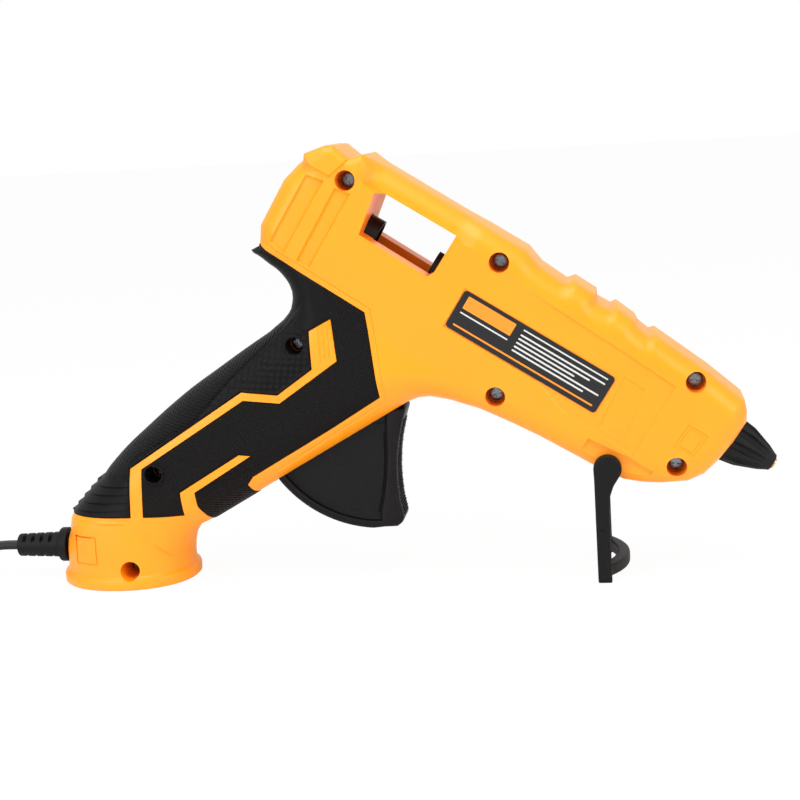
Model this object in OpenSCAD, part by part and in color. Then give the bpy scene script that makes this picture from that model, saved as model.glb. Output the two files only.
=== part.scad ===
// Hot-melt glue gun for 11.2 mm glue sticks, standing on its foot and its folding stand.
// Frame: the origin is the centre of the foot's flat underside, +X points to the nozzle, +Z is up and
// the two casing halves meet at Y = 0. All sizes are in millimetres and all angles in degrees.

/* [Barrel] */
// Width of the barrel across both casing halves
barrel_w = 36; // [35:0.5:38]
// Radius of the barrel's long edges
barrel_round = 8; // [6:0.5:9]
// Nose-down tilt of the barrel
barrel_tilt = 33; // [32.5:0.1:33.5]
// Height of the barrel's reference line over the origin, square to the barrel
barrel_h = 159; // [158.5:0.1:159.5]
// Wall thickness of both casing halves
wall = 2.2; // [1.8:0.1:2.6]

/* [Handle and foot] */
// Width of the handle
handle_w = 39; // [37:0.5:41]
// Radius of the handle's edges
handle_round = 15; // [13:0.5:16]
// Depth of the soft grip's recess in the casing
grip_t = 1.2; // [1:0.1:1.4]
// How far the soft grip stands proud of the casing
grip_proud = 0.4; // [0.2:0.1:0.6]
// Length of the foot's oval wall
foot_l = 47.5; // [46.5:0.5:49]
// Width of the foot's oval wall
foot_w = 41; // [40:0.5:43]
// Height of the foot's oval wall
foot_h = 25; // [24:0.5:26]
// How far the flange at the bottom of the foot stands out
flange_out = 1.6; // [1:0.1:2.2]
// Height of that flange
flange_h = 3.2; // [2.5:0.1:4.5]

/* [Glue path] */
// Diameter of the glue stick
stick_d = 11.2; // [11:0.1:11.4]
// Tilt of the glue path
feed_tilt = 32; // [31.8:0.1:32.3]
// How far the glue path runs below the barrel's reference line
feed_drop = 2.9; // [2.6:0.1:3.2]
// Travel of the feed carriage at full pull
feed_travel = 12; // [10:0.5:13]
// Pull of the trigger
trigger_pull = 28; // [25:1:30]
// Width of the trigger's rim
trigger_w = 15.4; // [14:0.2:16]
// Diameter of the trigger's pin
trigger_pin_d = 4; // [3.5:0.1:4.5]
// Diameter of the nozzle's outlet
outlet_d = 1.8; // [1.4:0.1:2.2]

/* [Stand] */
// Place of the stand's pivot along the barrel
stand_s = 127.25; // [126.5:0.05:128]
// How far the stand's pivot lies below the barrel's reference line
stand_drop = 27.95; // [27.5:0.05:28.2]
// Diameter of the stand's pivot pegs
peg_d = 3.6; // [3:0.1:4]
// Thickness of each stand leg, across the gun
leg_t = 3.4; // [3:0.1:3.8]
// Width of each stand leg, seen from the side
leg_w = 5; // [4.5:0.1:5.5]

/* [Fasteners] */
// Diameter of the casing screws' heads
head_d = 5.5; // [5:0.1:5.8]
// Diameter of the casing screws' shanks
shank_d = 2.9; // [2.6:0.1:3.1]
// Diameter of the counterbores over the screw heads
counterbore_d = 7; // [6.6:0.1:7.4]
// Distance of the screws' seats from the parting plane
seat_y = 8; // [7:0.5:9]

/* [Cord] */
// Width of the flat cord
cord_w = 5.2; // [5:0.1:5.4]
// Thickness of the flat cord
cord_t = 3.2; // [3:0.1:3.4]
// Height of the cord's exit over the floor
cord_z = 12; // [11.5:0.1:12.5]
// Diameter of the plug's pins
pin_d = 4; // [3.9:0.1:4.1]
// Diameter of the pins' root in the plug's body
pin_root = 4.6; // [4.4:0.1:4.8]
// Distance between the plug's pins
pin_gap = 19; // [18:0.1:19]

/* [Hidden] */
$fn = 64;
eps = 0.01;
fit = 0.05;       // radial clearance of pins and pegs that turn
gap = 0.3;        // clearance between parts that move past each other
// Angles of the layers that round an edge
round_steps = [0, 30, 60, 90];
stick_r = stick_d / 2;
feed_h = barrel_h - feed_drop;
carriage_r = stick_r + 1.2;
channel_r = carriage_r + gap;
sleeve_r = stick_r + 1.4;
// Trigger pivot and drive pin in the glue path's frame
pivot_s = 48.5;
pivot_t = -51.3;
drive_h = feed_travel / (2 * tan(trigger_pull / 2));
drive_s = pivot_s - feed_travel / 2;
drive_t = pivot_t + drive_h;
drive_pin_r = 1.5;
trigger_r = 46;
trigger_half = trigger_w / 2;
slot_half = trigger_half + gap + 0.1;
// Barrel features, as [along, above] in the barrel's frame
screws_barrel = [[-0.3, 11.6], [59.1, 14.1], [137.3, 12.9], [147.2, -15.4], [81.5, -26.6]];
// The handle's points are drawn for a barrel that is set at 159. When it is set higher or lower, they go
// with it: not at all at the foot's top, and all the way from 54 up, where the fingers hold the handle.
function follow(p) = p + (barrel_h - 159) * max(0, min(1, (p[1] - foot_h) / (54 - foot_h)))
    * [sin(barrel_tilt), cos(barrel_tilt)];
function all_follow(points) = [for (p = points) follow(p)];
// Handle and foot screws, as [x, z]
screws_low = all_follow([[71.3, 87.1], [16.9, 42.6], [5.1, 7]]);
boss_r = shank_d / 2 + 2;
barrel_outline = [[-17, -26.6], [-8, -29.8], [6, -32.5], [100, -32.5], [126, -31.6], [135.3, -29.6],
    [146.5, -24.2], [154, -18.6], [157.4, -13.4], [159, -7.4], [160, 8], [155.5, 15.4],
    [140, 18], [112, 20.4], [65, 22.5], [0.4, 21.9], [-12.4, 18.8], [-17.8, 12], [-20, 0.4], [-19.6, -18]];
handle_outline = all_follow([[0, 3.7], [109, 64], [118, 88], [80, 108.2], [59.8, 90.4],
    [20.3, 64.1], [3.9, 50.7], [-5.9, 40.2], [-19.5, 25.6], [-20.7, 17], [-19.5, 3]]);
window = [[10.8, 13], [13.6, 14.4], [42, 14.4], [41.7, -0.4], [40.4, -2.3], [13, -2.1]];
throat_centre = follow([59.9, 105]);
throat_r = 10.4;
black_panel = all_follow([[34, 15], [31.5, 22], [50.6, 37.6], [52.7, 40.2], [81.4, 56.4], [100.3, 67.7],
    [96.7, 97.9], [61.2, 122], [50, 130], [-40, 60], [-40, 24]]);
zigzag = all_follow([[6.7, 20], [7.8, 44.4], [51.2, 71.3], [64.2, 69.9], [77.2, 78.7], [76.9, 92.1], [84.6, 96],
    [86.1, 81.4], [64.8, 67.1], [51.7, 68.5], [17.3, 47.5], [12.3, 44.5], [11.1, 20]]);
hook = all_follow([[26.1, 35.6], [48.7, 48.8], [52.8, 48.4], [31.3, 35.5], [32, 22], [27.1, 20]]);
label_s = [53.6, 113.9];
label_t = [-14.3, 0.8];
label_deep = 0.6;
label_plate_t = 0.4;
// The stand's pivot, and its foot, which stands a little behind it
stand_x = stand_s * cos(barrel_tilt) + (barrel_h - stand_drop) * sin(barrel_tilt);
stand_h = (barrel_h - stand_drop) * cos(barrel_tilt) - stand_s * sin(barrel_tilt);
stand_foot_x = stand_x - 2.2;
head_r = 4.9;
stand_recess = 1.6;
stand_in = barrel_w / 2 - stand_recess;
leg_y = stand_in + gap + leg_t / 2;
bow = 6.8;
// Where the boot's collar, the boot and the cord start
wall_x = -foot_l / 2;
collar_l = 3.6;
boot_l = 16.5;
exit_x = wall_x - collar_l - boot_l;
clamp_x = [-17, -11];
clamp_screw_z = [cord_z - 5.5, cord_z + 5.5];
clamp_screw_r = 1.3;
cord_inner_x = -8;
boot_neck_r = 4.2;
pin_half = 12.6;
nozzle_hole_r = 8.8;
nozzle_thread_r = 4;
spacer_r = 13;
spacer_t = 3.4;
spacer_s = [71.2, 125.6];
spigot_r = 7.2;
chamber_r = 9.2;
inlet_s = -16.5;
inlet_l = 7.5;
tip_s = 180.6;
valve_r = 2.6;
ball_r = 2.1;
ball_s = 153.6;
spring_r = 2;
cover_r = 8.4;
carriage_s = [-4, 20.2];
jaw_s = 11;
jaw_t = -9.2;
// Finger dips along the barrel's top: start, end, height of the bottom and length of the rear slope
finger_dips = [[71.7, 82.3, 19.3, 5.5], [94.7, 100.2, 18.7, 2], [111.3, 116.2, 18, 2]];
trigger_outline = concat(arc([0, 0], trigger_r, 205, 277, 18), [[8.3, -43.2], [8.2, -41], [6.8, -30], [6.9, -20],
    [8.8, -8], [11.6, -1], [9, 4], [0, 6]], arc([0, 0], 6, 90, 205, 6));
bow_r = (leg_y * leg_y + bow * bow) / (2 * bow);
crimp_s = 67.9;
crimp_t = -12.6;
lead_route = concat([for (p = [[cord_inner_x + 0.7, 1.3, cord_z], [-2, 3, 16], [6, 8, 22], [18, 11.5, 31], [31, 11.5, 46],
    [44, 11.5, 58], [58, 11.5, 70], [76, 11.5, 78]]) let(q = follow([p[0], p[2]])) [q[0], p[1], q[1]]], [for (p = [[37, 10.2, -31], [47, 9.8, -28], [55, 9.4, -22], [61, 7, -15.5], [65, 5.2, crimp_t - 0.4], [crimp_s - 0.3, 5, crimp_t]])
    from_feed(p)]);
// The hank of spare cord: centres of its end loops, the radius in the middle of its turns, its width and height
coil_ends = [-174.4, -104.4];
coil_y = 2.4;
coil_r = 19.2;
coil_w = 10.4;
coil_top = 11.1;
tie_x = (coil_ends[0] + coil_ends[1]) / 2;
plug_x = -207;
plug_y = -6;
plug_l = 35;
plug_w = 34;
plug_t = 13.7;
lead_out = [[exit_x - 0.35, 0, cord_z], [-57, 0, 11.3], [-66.3, -1.2, 9.2], [-75, -4.8, 6.2], [-80.2, -8.6, 4.6]];
tail_out = [[-199.6, -7, 7.4], [-203, -6.2, 7], [plug_x + 0.8, plug_y, plug_t / 2]];

// ---- frames ----
module in_barrel() rotate([0, barrel_tilt, 0]) translate([0, 0, barrel_h]) children();
module in_feed() rotate([0, feed_tilt, 0]) translate([0, 0, feed_h]) children();
// Round solids along the glue path are drawn along Z and turned onto it
module on_feed() in_feed() rotate([0, 90, 0]) children();
module at_pivot() in_feed() translate([pivot_s, 0, pivot_t]) rotate([0, -feed_tilt, 0]) children();

// ---- helpers ----
function unit(v) = v / norm(v);
function left_of(a, b) = let(d = unit(b - a)) [-d[1], d[0]];
// A convex outline, given anticlockwise, moved inwards by d
function inset(p, d) = let(n = len(p)) [for (i = [0:n - 1])
    let(n1 = left_of(p[(i + n - 1) % n], p[i]), n2 = left_of(p[i], p[(i + 1) % n]))
    p[i] + (n1 + n2) * d / (1 + n1 * n2)];
// A point of the glue path's frame, given as [along, across, above], in the gun's frame
function from_feed(p) = [p[0] * cos(feed_tilt) + (p[2] + feed_h) * sin(feed_tilt), p[1],
    (p[2] + feed_h) * cos(feed_tilt) - p[0] * sin(feed_tilt)];
function arc(c, r, a0, a1, n = 12) = [for (i = [0:n]) let(a = a0 + (a1 - a0) * i / n) c + r * [cos(a), sin(a)]];
function oval(l, w, e = 2.1, n = 48) = [for (i = [0:n - 1]) let(a = 360 * i / n, c = cos(a), s = sin(a))
    [sign(c) * l / 2 * pow(abs(c), 2 / e), sign(s) * w / 2 * pow(abs(s), 2 / e)]];
// A flat shape in X and Z, made into a slab between two Y values
module slab(y0, y1) translate([0, y1, 0]) rotate([90, 0, 0]) linear_extrude(y1 - y0) children();
module across(y0, y1, r) translate([0, y0, 0]) rotate([-90, 0, 0]) cylinder(h = y1 - y0, r = r);
module box(x, y, z) translate([x[0], y[0], z[0]]) cube([x[1] - x[0], y[1] - y[0], z[1] - z[0]]);
module tube(s0, s1, r_out, r_in) translate([0, 0, s0]) difference() {
    cylinder(h = s1 - s0, r = r_out);
    translate([0, 0, -1]) cylinder(h = s1 - s0 + 2, r = r_in);
}
// A slab of a convex outline with rounded edges on one side of Y = 0, d smaller all round
module pillow(outline, half, r, side, d = 0) hull() for (a = round_steps)
    let(y = half - d - (r - d) * (1 - sin(a))) mirror([0, side < 0 ? 1 : 0, 0])
        slab(0, y) polygon(inset(outline, d + (r - d) * (1 - cos(a))));
// A tube swept along points, with a flat section of half sizes a and b that turns by twist
module sweep(path, a, b, ref, twist = 0, sides = 8) {
    n = len(path);
    rings = [for (i = [0:n - 1])
        let(t = unit(path[min(i + 1, n - 1)] - path[max(i - 1, 0)]), u = unit(cross(t, ref)), v = cross(u, t),
            w = twist * i / (n - 1), p = u * cos(w) + v * sin(w), q = v * cos(w) - u * sin(w))
        for (k = [0:sides - 1]) path[i] + p * a * cos(360 * k / sides) + q * b * sin(360 * k / sides)];
    faces = concat([[for (k = [sides - 1:-1:0]) k]], [[for (k = [0:sides - 1]) (n - 1) * sides + k]],
        [for (i = [0:n - 2]) for (k = [0:sides - 1]) for (j = [0, 1])
            let(m = (k + 1) % sides, a = i * sides, b = (i + 1) * sides)
            j == 0 ? [a + k, a + m, b + k] : [a + m, b + m, b + k]]);
    polyhedron(rings, faces);
}
// A smooth curve through the points of a route, m steps for each of its stretches
function smooth(p, m = 2) = let(n = len(p)) concat([for (i = [0:n - 2]) for (j = [0:m - 1])
    let(t = j / m, a = p[max(i - 1, 0)], b = p[i], c = p[i + 1], d = p[min(i + 2, n - 1)])
    b + (c - a) * t / 2 + (2 * a - 5 * b + 4 * c - d) * t * t / 2 + (3 * b - a - 3 * c + d) * t * t * t / 2], [p[n - 1]]);

// ---- shapes that several parts share ----
// The half of the gun on one side of Y = 0: side is -1 for the right half and 1 for the left
module right_or_left(side) mirror([0, side < 0 ? 1 : 0, 0]) children();
module outer_body(side, d = 0) {
    in_barrel() pillow(barrel_outline, barrel_w / 2, barrel_round, side, d);
    pillow(handle_outline, handle_w / 2, handle_round, side, d);
}
module foot(side, grow, z0, z1) right_or_left(side) translate([0, 0, z0]) linear_extrude(z1 - z0) intersection() {
    polygon(oval(foot_l + 2 * grow, foot_w + 2 * grow));
    translate([-foot_l, 0]) square([2 * foot_l, foot_w]);
}
module belly(side, d = 0) right_or_left(side) slab(0, barrel_w / 2 - 2 - d)
    translate([0, d]) polygon(all_follow([[109, 64], [117, 65.7], [124, 64.7], [134.4, 61.6], [146, 56.2],
        [150, 60 - d], [125, 85 - d], [112, 80 - d]]));
module grip_area() difference() {
    polygon(black_panel);
    polygon(zigzag);
    polygon(hook);
    translate([-60, -10]) square([120, foot_h + 11.2]);
}
module screw_places() {
    in_barrel() for (p = screws_barrel) translate([p[0], 0, p[1]]) children();
    for (p = screws_low) translate([p[0], 0, p[1]]) children();
}
module trigger_room() at_pivot() intersection() {
    across(-slot_half, slot_half, trigger_r + 0.6);
    box([-50, 12.6], [-20, 20], [-60, 8]);
}
module counterbores() screw_places() across(-40, -seat_y, counterbore_d / 2);
module throat() translate([throat_centre[0], 0, throat_centre[1]]) across(-40, 40, throat_r);

// What stands inside a casing half: bosses, the window's frame, rails, saddles and posts
module inside(side) {
    right_or_left(side) {
        screw_places() across(0, 30, boss_r);
        if (side < 0) screw_places() across(seat_y - 2, 30, counterbore_d / 2 + 1.6);
        in_barrel() slab(0, barrel_w) difference() {
            translate([window[0][0] - wall, window[4][1] - wall]) square([window[2][0] - window[0][0] + 2 * wall, 21]);
            polygon(window);
        }
        in_feed() box([-17, 43], [9, 11], [-14, 0]);
        in_barrel() slab(0, 30) polygon([[64, 26], [64, finger_dips[0][2] - wall], [118, finger_dips[2][2] - 0.2 - wall], [118, 26]]);
        in_barrel() box([-14, 2], [0, 30], [18.7 - wall, 26]);
        in_feed() for (s = spacer_s) box([s - 1.2, s + 1.2], [0, 30], [-30, 30]);
        at_pivot() across(slot_half + 0.2, 30, trigger_pin_d / 2 + 2.6);
        in_barrel() box([113, 142], [stand_in - wall, 30], [-40, -19]);
        translate([stand_x, 0, stand_h]) across(stand_in - 4.6, 30, peg_d / 2 + 1.8);
    }
    if (side > 0) cord_posts();
}
module cord_posts() {
    for (z = clamp_screw_z) translate([(clamp_x[0] + clamp_x[1]) / 2, 0, z]) across(-cord_w / 2, 30, 2.3);
    box(clamp_x, [cord_w / 2, 30], [cord_z - cord_t, cord_z + cord_t]);
}
// What is cut through a casing half once it is hollow
module cuts() {
    in_barrel() slab(-barrel_w, barrel_w) polygon(window);
    in_feed() box([-16.5, 43.2], [-9, 9], [-12.6, 0.5]);
    on_feed() translate([0, 0, -25]) cylinder(h = 75, r = channel_r);
    on_feed() translate([0, 0, inlet_s + 1.5 - fit]) cylinder(h = 2 + 2 * fit, r = channel_r + 1.1 + gap);
    on_feed() translate([0, 0, 150]) cylinder(h = 30, r = nozzle_hole_r);
    in_feed() box([60, 135], [-13, 13], [-18, -5]);
    on_feed() translate([0, 0, 60]) cylinder(h = 75, r = spacer_r + fit);
    trigger_room();
    at_pivot() box([0, 18], [-7, 7], [4.4, 26]);
    at_pivot() across(-pin_half, pin_half, trigger_pin_d / 2 + 0.02);
    counterbores();
    screw_places() across(-30, 0, shank_d / 2 + 0.1);
    screw_places() across(-1, seat_y + 1, shank_d / 2 + 0.02);
    throat();
    in_barrel() box(label_s, [-barrel_w, -barrel_w / 2 + label_deep], label_t);
    in_barrel() for (y = [[-40, -barrel_w / 2 + 0.8], [barrel_w / 2 - 0.8, 40]]) {
        box([-13, -6.5], y, [-20.4, 7]);
        box([-2, 3.7], y, [-20.8, 8.3]);
    }
    in_barrel() for (y = [[-40, -stand_in], [stand_in, 40]]) box([115.5, 141], y, [-45, -21.5]);
    translate([stand_x, 0, stand_h]) for (s = [0, 1]) mirror([0, s, 0]) across(stand_in - 3.6, 40, peg_d / 2 + fit);
    in_barrel() for (p = finger_dips) slab(-40, 40) polygon([[p[0] - p[3], 25], [p[0], p[2]], [p[1], p[2] - 0.2], [p[1] + 2, 25]]);
    in_barrel() slab(-40, 40) polygon([[-9.8, 25], [-9.8, 19.9], [-3.2, 18.7], [0.2, 21.7], [0.2, 25]]);
    translate([wall_x - 5, 0, cord_z]) rotate([0, 90, 0]) cylinder(h = 14, r = boot_neck_r + fit);
    for (z = clamp_screw_z) translate([(clamp_x[0] + clamp_x[1]) / 2, 0, z]) across(-cord_w, 12, clamp_screw_r);
}

module casing(side) color("orange") difference() {
    union() {
        outer_body(side);
        foot(side, 0, 0, foot_h);
        foot(side, flange_out, 0, flange_h);
        belly(side);
    }
    difference() {
        union() {
            in_barrel() pillow(barrel_outline, barrel_w / 2, barrel_round, side, wall);
            pillow(handle_outline, handle_w / 2, handle_round, side, wall + grip_t);
            foot(side, -wall, wall, foot_h - wall);
            belly(side, wall);
        }
        inside(side);
    }
    difference() {
        right_or_left(side) slab(0, 40) grip_area();
        outer_body(side, grip_t);
    }
    cuts();
}
module grip(side) color("#222222") difference() {
    intersection() {
        union() {
            outer_body(side, -grip_proud);
            right_or_left(side) slab(0, 12) polygon(all_follow([[61.5, 93.4], [77, 106], [63.5, 115.8]]));
        }
        right_or_left(side) slab(0, 40) grip_area();
    }
    outer_body(side, grip_t);
    trigger_room();
    throat();
    counterbores();
}

// ---- casing and what is fixed to it ----
module casing_right() casing(-1);
module casing_left() casing(1);
module grip_right() grip(-1);
module grip_left() grip(1);
module label_plate() color("#1a1a1a") in_barrel() box(label_s + [gap, -gap],
    [-barrel_w / 2 + label_deep - label_plate_t, -barrel_w / 2 + label_deep], label_t + [gap, -gap]);
module inlet_bush() color("#222222") on_feed() difference() {
    union() {
        tube(inlet_s, inlet_s + inlet_l, channel_r - fit, stick_r + 0.4);
        tube(inlet_s + 1.5, inlet_s + 3.5, channel_r + 1.1, stick_r + 0.4);
    }
}
module inlet_sleeve() color("#2a2a2a") on_feed() {
    tube(42, 47.3, sleeve_r, stick_r + 0.3);
    tube(47.3, 49.3, sleeve_r + 2, stick_r + 0.3);
    tube(49.3, 54, sleeve_r + 1.25, stick_r + 0.3);
    tube(54, 66, sleeve_r + 1.25, spigot_r + 0.02);
}
module sleeve_clip() color("silver") on_feed() {
    tube(57, 61, sleeve_r + 2.05, sleeve_r + 1.27);
    box([sleeve_r + 2, sleeve_r + 4.5], [-1.2, 1.2], [57, 61]);
}
module melt_chamber() color("silver") difference() {
    union() {
        on_feed() translate([0, 0, 54]) cylinder(h = 15, r = spigot_r);
        on_feed() translate([0, 0, 66.3]) cylinder(h = 61.7, r = chamber_r);
        on_feed() translate([0, 0, 128]) cylinder(h = 22, r = chamber_r - 2);
        in_feed() box([74, 120], [-9, 9], [-16, -5]);
    }
    on_feed() translate([0, 0, 53]) cylinder(h = 73, r = stick_r + 0.1);
    on_feed() translate([0, 0, 125.9]) cylinder(h = 12, r1 = stick_r + 0.1, r2 = 2.5);
    on_feed() translate([0, 0, 137]) cylinder(h = 6, r = 2.5);
    on_feed() translate([0, 0, 142]) cylinder(h = 9, r = nozzle_thread_r + 0.02);
    in_feed() box([73, 121], [-6.6, 6.6], [-14.2, -9.4]);
}
module spacer(s) color("beige") difference() {
    on_feed() tube(s - spacer_t / 2, s + spacer_t / 2, spacer_r, chamber_r + fit);
    in_feed() box([s - 5, s + 5], [-7.5, 7.5], [-20, 0]);
}
module rear_spacer() spacer(spacer_s[0]);
module front_spacer() spacer(spacer_s[1]);
module heater_insulation() color("goldenrod") in_feed() difference() {
    box([75, 119], [-6.5, 6.5], [-14.1, -9.5]);
    box([74, 120], [-6.1, 6.1], [-13.7, -9.85]);
}
module heater_electrodes() color("silver") in_feed() {
    box([76, 118], [-5.8, 5.8], [-10.4, -9.9]);
    box([73, 76.1], [4, 6], [-12.2, -9.9]);
    box([76, 118], [-5.8, 5.8], [-13.6, -13.1]);
    box([73, 76.1], [-6, -4], [-13.6, -11.8]);
}
module ptc_heater() color("dimgray") in_feed() for (i = [0:2])
    translate([79 + 12.5 * i, 0, 0]) box([0, 10], [-5.5, 5.5], [-13.05, -10.45]);
module heater_clip() color("gray") in_feed() difference() {
    box([88, 104], [-10, 10], [-17, -6]);
    box([87, 105], [-9.1, 9.1], [-16.1, 0]);
}
module nozzle() color("goldenrod") on_feed() difference() {
    union() {
        translate([0, 0, 142.2]) cylinder(h = 8, r = nozzle_thread_r);
        translate([0, 0, 150]) cylinder(h = 5, r = 7, $fn = 6);
        translate([0, 0, 154.9]) cylinder(h = tip_s - 154.9 - 2, r1 = 5.6, r2 = 1.9);
        translate([0, 0, tip_s - 2.1]) cylinder(h = 2.1, r = 1.9);
    }
    translate([0, 0, 141]) cylinder(h = 12, r = 1.5);
    translate([0, 0, 152]) cylinder(h = 14, r = valve_r);
    translate([0, 0, 165]) cylinder(h = tip_s - 164, r = outlet_d / 2);
}
module valve_ball() color("lightgray") on_feed() translate([0, 0, ball_s]) sphere(r = ball_r);
module valve_spring() color("silver") on_feed() sweep([for (i = [0:50])
    let(a = 36 * i) [spring_r * cos(a), spring_r * sin(a), ball_s + 2.6 + i * 0.19]], 0.3, 0.3, [0, 0, 1], 0, 6);
module nozzle_cover() color("#222222") on_feed() rotate_extrude() polygon([[cover_r - 1.7, 156.5], [cover_r, 156.5],
    [cover_r, 163.4], [cover_r - 0.8, 168.6], [3.05, tip_s - 0.7], [2.05, tip_s - 0.7], [2.05, tip_s - 2.2],
    [6, 165], [cover_r - 1.7, 160]]);

// ---- feed mechanism ----
module feed_carriage() color("#1c1c1c") difference() {
    union() {
        on_feed() translate([0, 0, carriage_s[0]]) cylinder(h = carriage_s[1] - carriage_s[0], r = carriage_r);
        in_feed() box([-4, 14], [-9 + gap, 9 - gap], [-12.2, -4.8]);
        in_feed() slab(-3, 3) polygon([[-2, -12], [14, -12], [35, -19.5], [drive_s + 3.2, drive_t + 3],
            [drive_s + 3.2, drive_t - 3], [drive_s - 2.5, drive_t - 3.4], [28, -23.5]]);
    }
    on_feed() translate([0, 0, -10]) cylinder(h = 40, r = stick_r + 0.4);
    in_feed() box([1.6, 14.5], [-1.8, 1.8], [-19, -5]);
    in_feed() translate([jaw_s, 0, jaw_t]) across(-8, 8, 1.2);
    in_feed() translate([drive_s, 0, drive_t]) across(-9, 9, drive_pin_r);
}
module drive_pin() color("silver") in_feed() translate([drive_s, 0, drive_t]) across(-6.7, 6.7, drive_pin_r);
module gripper_jaw() color("gray") in_feed() difference() {
    slab(-1.4, 1.4) polygon([[3, -6.5], [3.8, -7.2], [4.6, -6.5], [5.4, -7.2], [6.2, -6.5], [7.5, -7.3],
        [12.2, -7.3], [13.2, -9.5], [12.4, -17.5], [10.4, -17.5], [9.4, -11.2], [3.4, -9.4]]);
    translate([jaw_s, 0, jaw_t]) across(-5, 5, 1.2 + fit);
}
module jaw_pin() color("silver") in_feed() translate([jaw_s, 0, jaw_t]) across(-7.5, 7.5, 1.2);
// The trigger is a sector that turns about its pin, drawn with its arc round the pin
module trigger() color("#1c1c1c") at_pivot() difference() {
    union() {
        slab(-5.4, 5.4) polygon(trigger_outline);
        slab(-trigger_half, trigger_half) difference() {
            polygon(trigger_outline);
            polygon(concat(arc([0, 0], trigger_r - 3.4, 203, 268, 16), [[-0.5, -39.5], [2.2, -28], [2.6, -14],
                [0, 12], [-60, 12], [-60, -20]]));
        }
        across(-6.8, 6.8, 7);
        rotate([0, feed_tilt, 0]) for (s = [0, 1]) mirror([0, s, 0]) slab(3.4, 6.3) polygon([[-5, 2], [5, 2],
            [drive_s - pivot_s + 4.4, drive_h + 1], [drive_s - pivot_s + 3, drive_h + 4], [drive_s - pivot_s - 3.5, drive_h + 4],
            [drive_s - pivot_s - 4.6, drive_h + 1]]);
    }
    across(-20, 20, trigger_pin_d / 2 + fit);
    rotate([0, feed_tilt - trigger_pull / 2, 0]) slab(-9, 9) polygon(concat(
        arc([0, drive_h + 1.4], drive_pin_r + 0.2, 0, 180, 12), arc([0, drive_h - 0.8], drive_pin_r + 0.2, 180, 360, 12)));
    across(5, 9, 5.6);
    box([-4.3, -2.5], [5.4, 9], [-9, 9]);
}
module trigger_pin() color("silver") at_pivot() across(-pin_half, pin_half, trigger_pin_d / 2);
module trigger_spring() color("silver") at_pivot() sweep(concat([[-3.4, 5.9, -15], [-3.4, 5.9, -8]],
    [for (i = [0:48]) let(a = 15 * i) [-3.4 * cos(a), 5.9 + 1.8 * i / 48, 3.4 * sin(a)]],
    [[-3.4, 7.7, 6], [-3.4, 7.7, 13]]), 0.35, 0.35, [0, 1, 0]);

// ---- stand ----
module stand() color("#1c1c1c") {
    for (s = [0, 1]) mirror([0, s, 0]) {
        translate([stand_x, 0, stand_h]) across(leg_y - leg_t / 2, leg_y + leg_t / 2, head_r);
        box([stand_foot_x - leg_w / 2, stand_foot_x + leg_w / 2], [leg_y - leg_t / 2, leg_y + leg_t / 2], [0, stand_h]);
        translate([stand_x, 0, stand_h]) across(stand_in - 3.2, leg_y, peg_d / 2);
    }
    intersection() {
        translate([stand_foot_x + bow - bow_r, 0, 2.2]) difference() {
            cylinder(h = 4.2, r = bow_r + 2.3, $fn = 96);
            translate([0, 0, -1]) cylinder(h = 7, r = bow_r - 2.3, $fn = 96);
        }
        box([stand_foot_x - 1, stand_foot_x + 20], [-leg_y, leg_y], [0, 10]);
    }
}

// ---- fasteners and leads ----
module casing_screws() color("lightsteelblue") screw_places() difference() {
    union() {
        across(-seat_y - 2.2, -seat_y, head_d / 2);
        across(-seat_y - eps, seat_y + 0.8, shank_d / 2);
    }
    for (a = [45, 135]) translate([0, -seat_y - 2.2, 0]) rotate([0, a, 0]) box([-1.6, 1.6], [-1, 1.1], [-0.35, 0.35]);
}
module cord_clamp() color("#333333") difference() {
    box(clamp_x, [-cord_w / 2 - 2.8, -cord_w / 2 - 0.02], [clamp_screw_z[0] - 3, clamp_screw_z[1] + 3]);
    for (z = clamp_screw_z) translate([(clamp_x[0] + clamp_x[1]) / 2, 0, z]) across(-10, 0, clamp_screw_r + 0.1);
}
module clamp_screws() color("lightsteelblue") for (z = clamp_screw_z)
    translate([(clamp_x[0] + clamp_x[1]) / 2, 0, z]) {
        across(-cord_w / 2 - 4.6, -cord_w / 2 - 2.8, 2.2);
        across(-cord_w / 2 - 2.9, 8, clamp_screw_r);
    }
module lead_wires() color("white") for (s = [-1, 1])
    sweep(smooth([for (p = lead_route) [p[0], s * p[1], p[2]]]), 0.9, 0.9, [0, 1, 0]);
module wire_crimps() color("silver") in_feed() for (s = [-1, 1])
    translate([crimp_s, 5 * s, crimp_t]) rotate([0, 90, 0]) cylinder(h = 73 - crimp_s, r = 1.3);
module flat_cord(grow = 0) {
    // The flat cord's outline, wide across Y
    square([cord_t + 2 * grow, cord_w - cord_t], center = true);
    for (s = [-1, 1]) translate([0, s * (cord_w - cord_t) / 2]) circle(r = cord_t / 2 + grow);
}
module along_x(x0, x1, z) translate([x0, 0, z]) rotate([0, 90, 0]) linear_extrude(x1 - x0) children();
module strain_relief() color("#222222") difference() {
    union() {
        translate([wall_x - collar_l - 0.1, 0, cord_z]) rotate([0, 90, 0]) cylinder(h = collar_l, r = 6.4);
        translate([wall_x - 0.2, 0, cord_z]) rotate([0, 90, 0]) cylinder(h = 4, r = boot_neck_r);
        translate([wall_x + 3.7, 0, cord_z]) rotate([0, 90, 0]) cylinder(h = 1.8, r = 6.2);
        translate([exit_x, 0, cord_z]) rotate([0, 90, 0]) cylinder(h = boot_l + 0.1, r1 = 4.2, r2 = 4.8);
    }
    along_x(exit_x - 1, wall_x + 10, cord_z) flat_cord(0.02);
    for (i = [0:3]) for (s = [-1, 1]) translate([exit_x + 2.4 + 4 * i, 0, cord_z + s * 5])
        cube([1.8, 12, 5.4], center = true);
}
module cord_inner_end() color("#1a1a1a") along_x(exit_x, cord_inner_x, cord_z) flat_cord();
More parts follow.
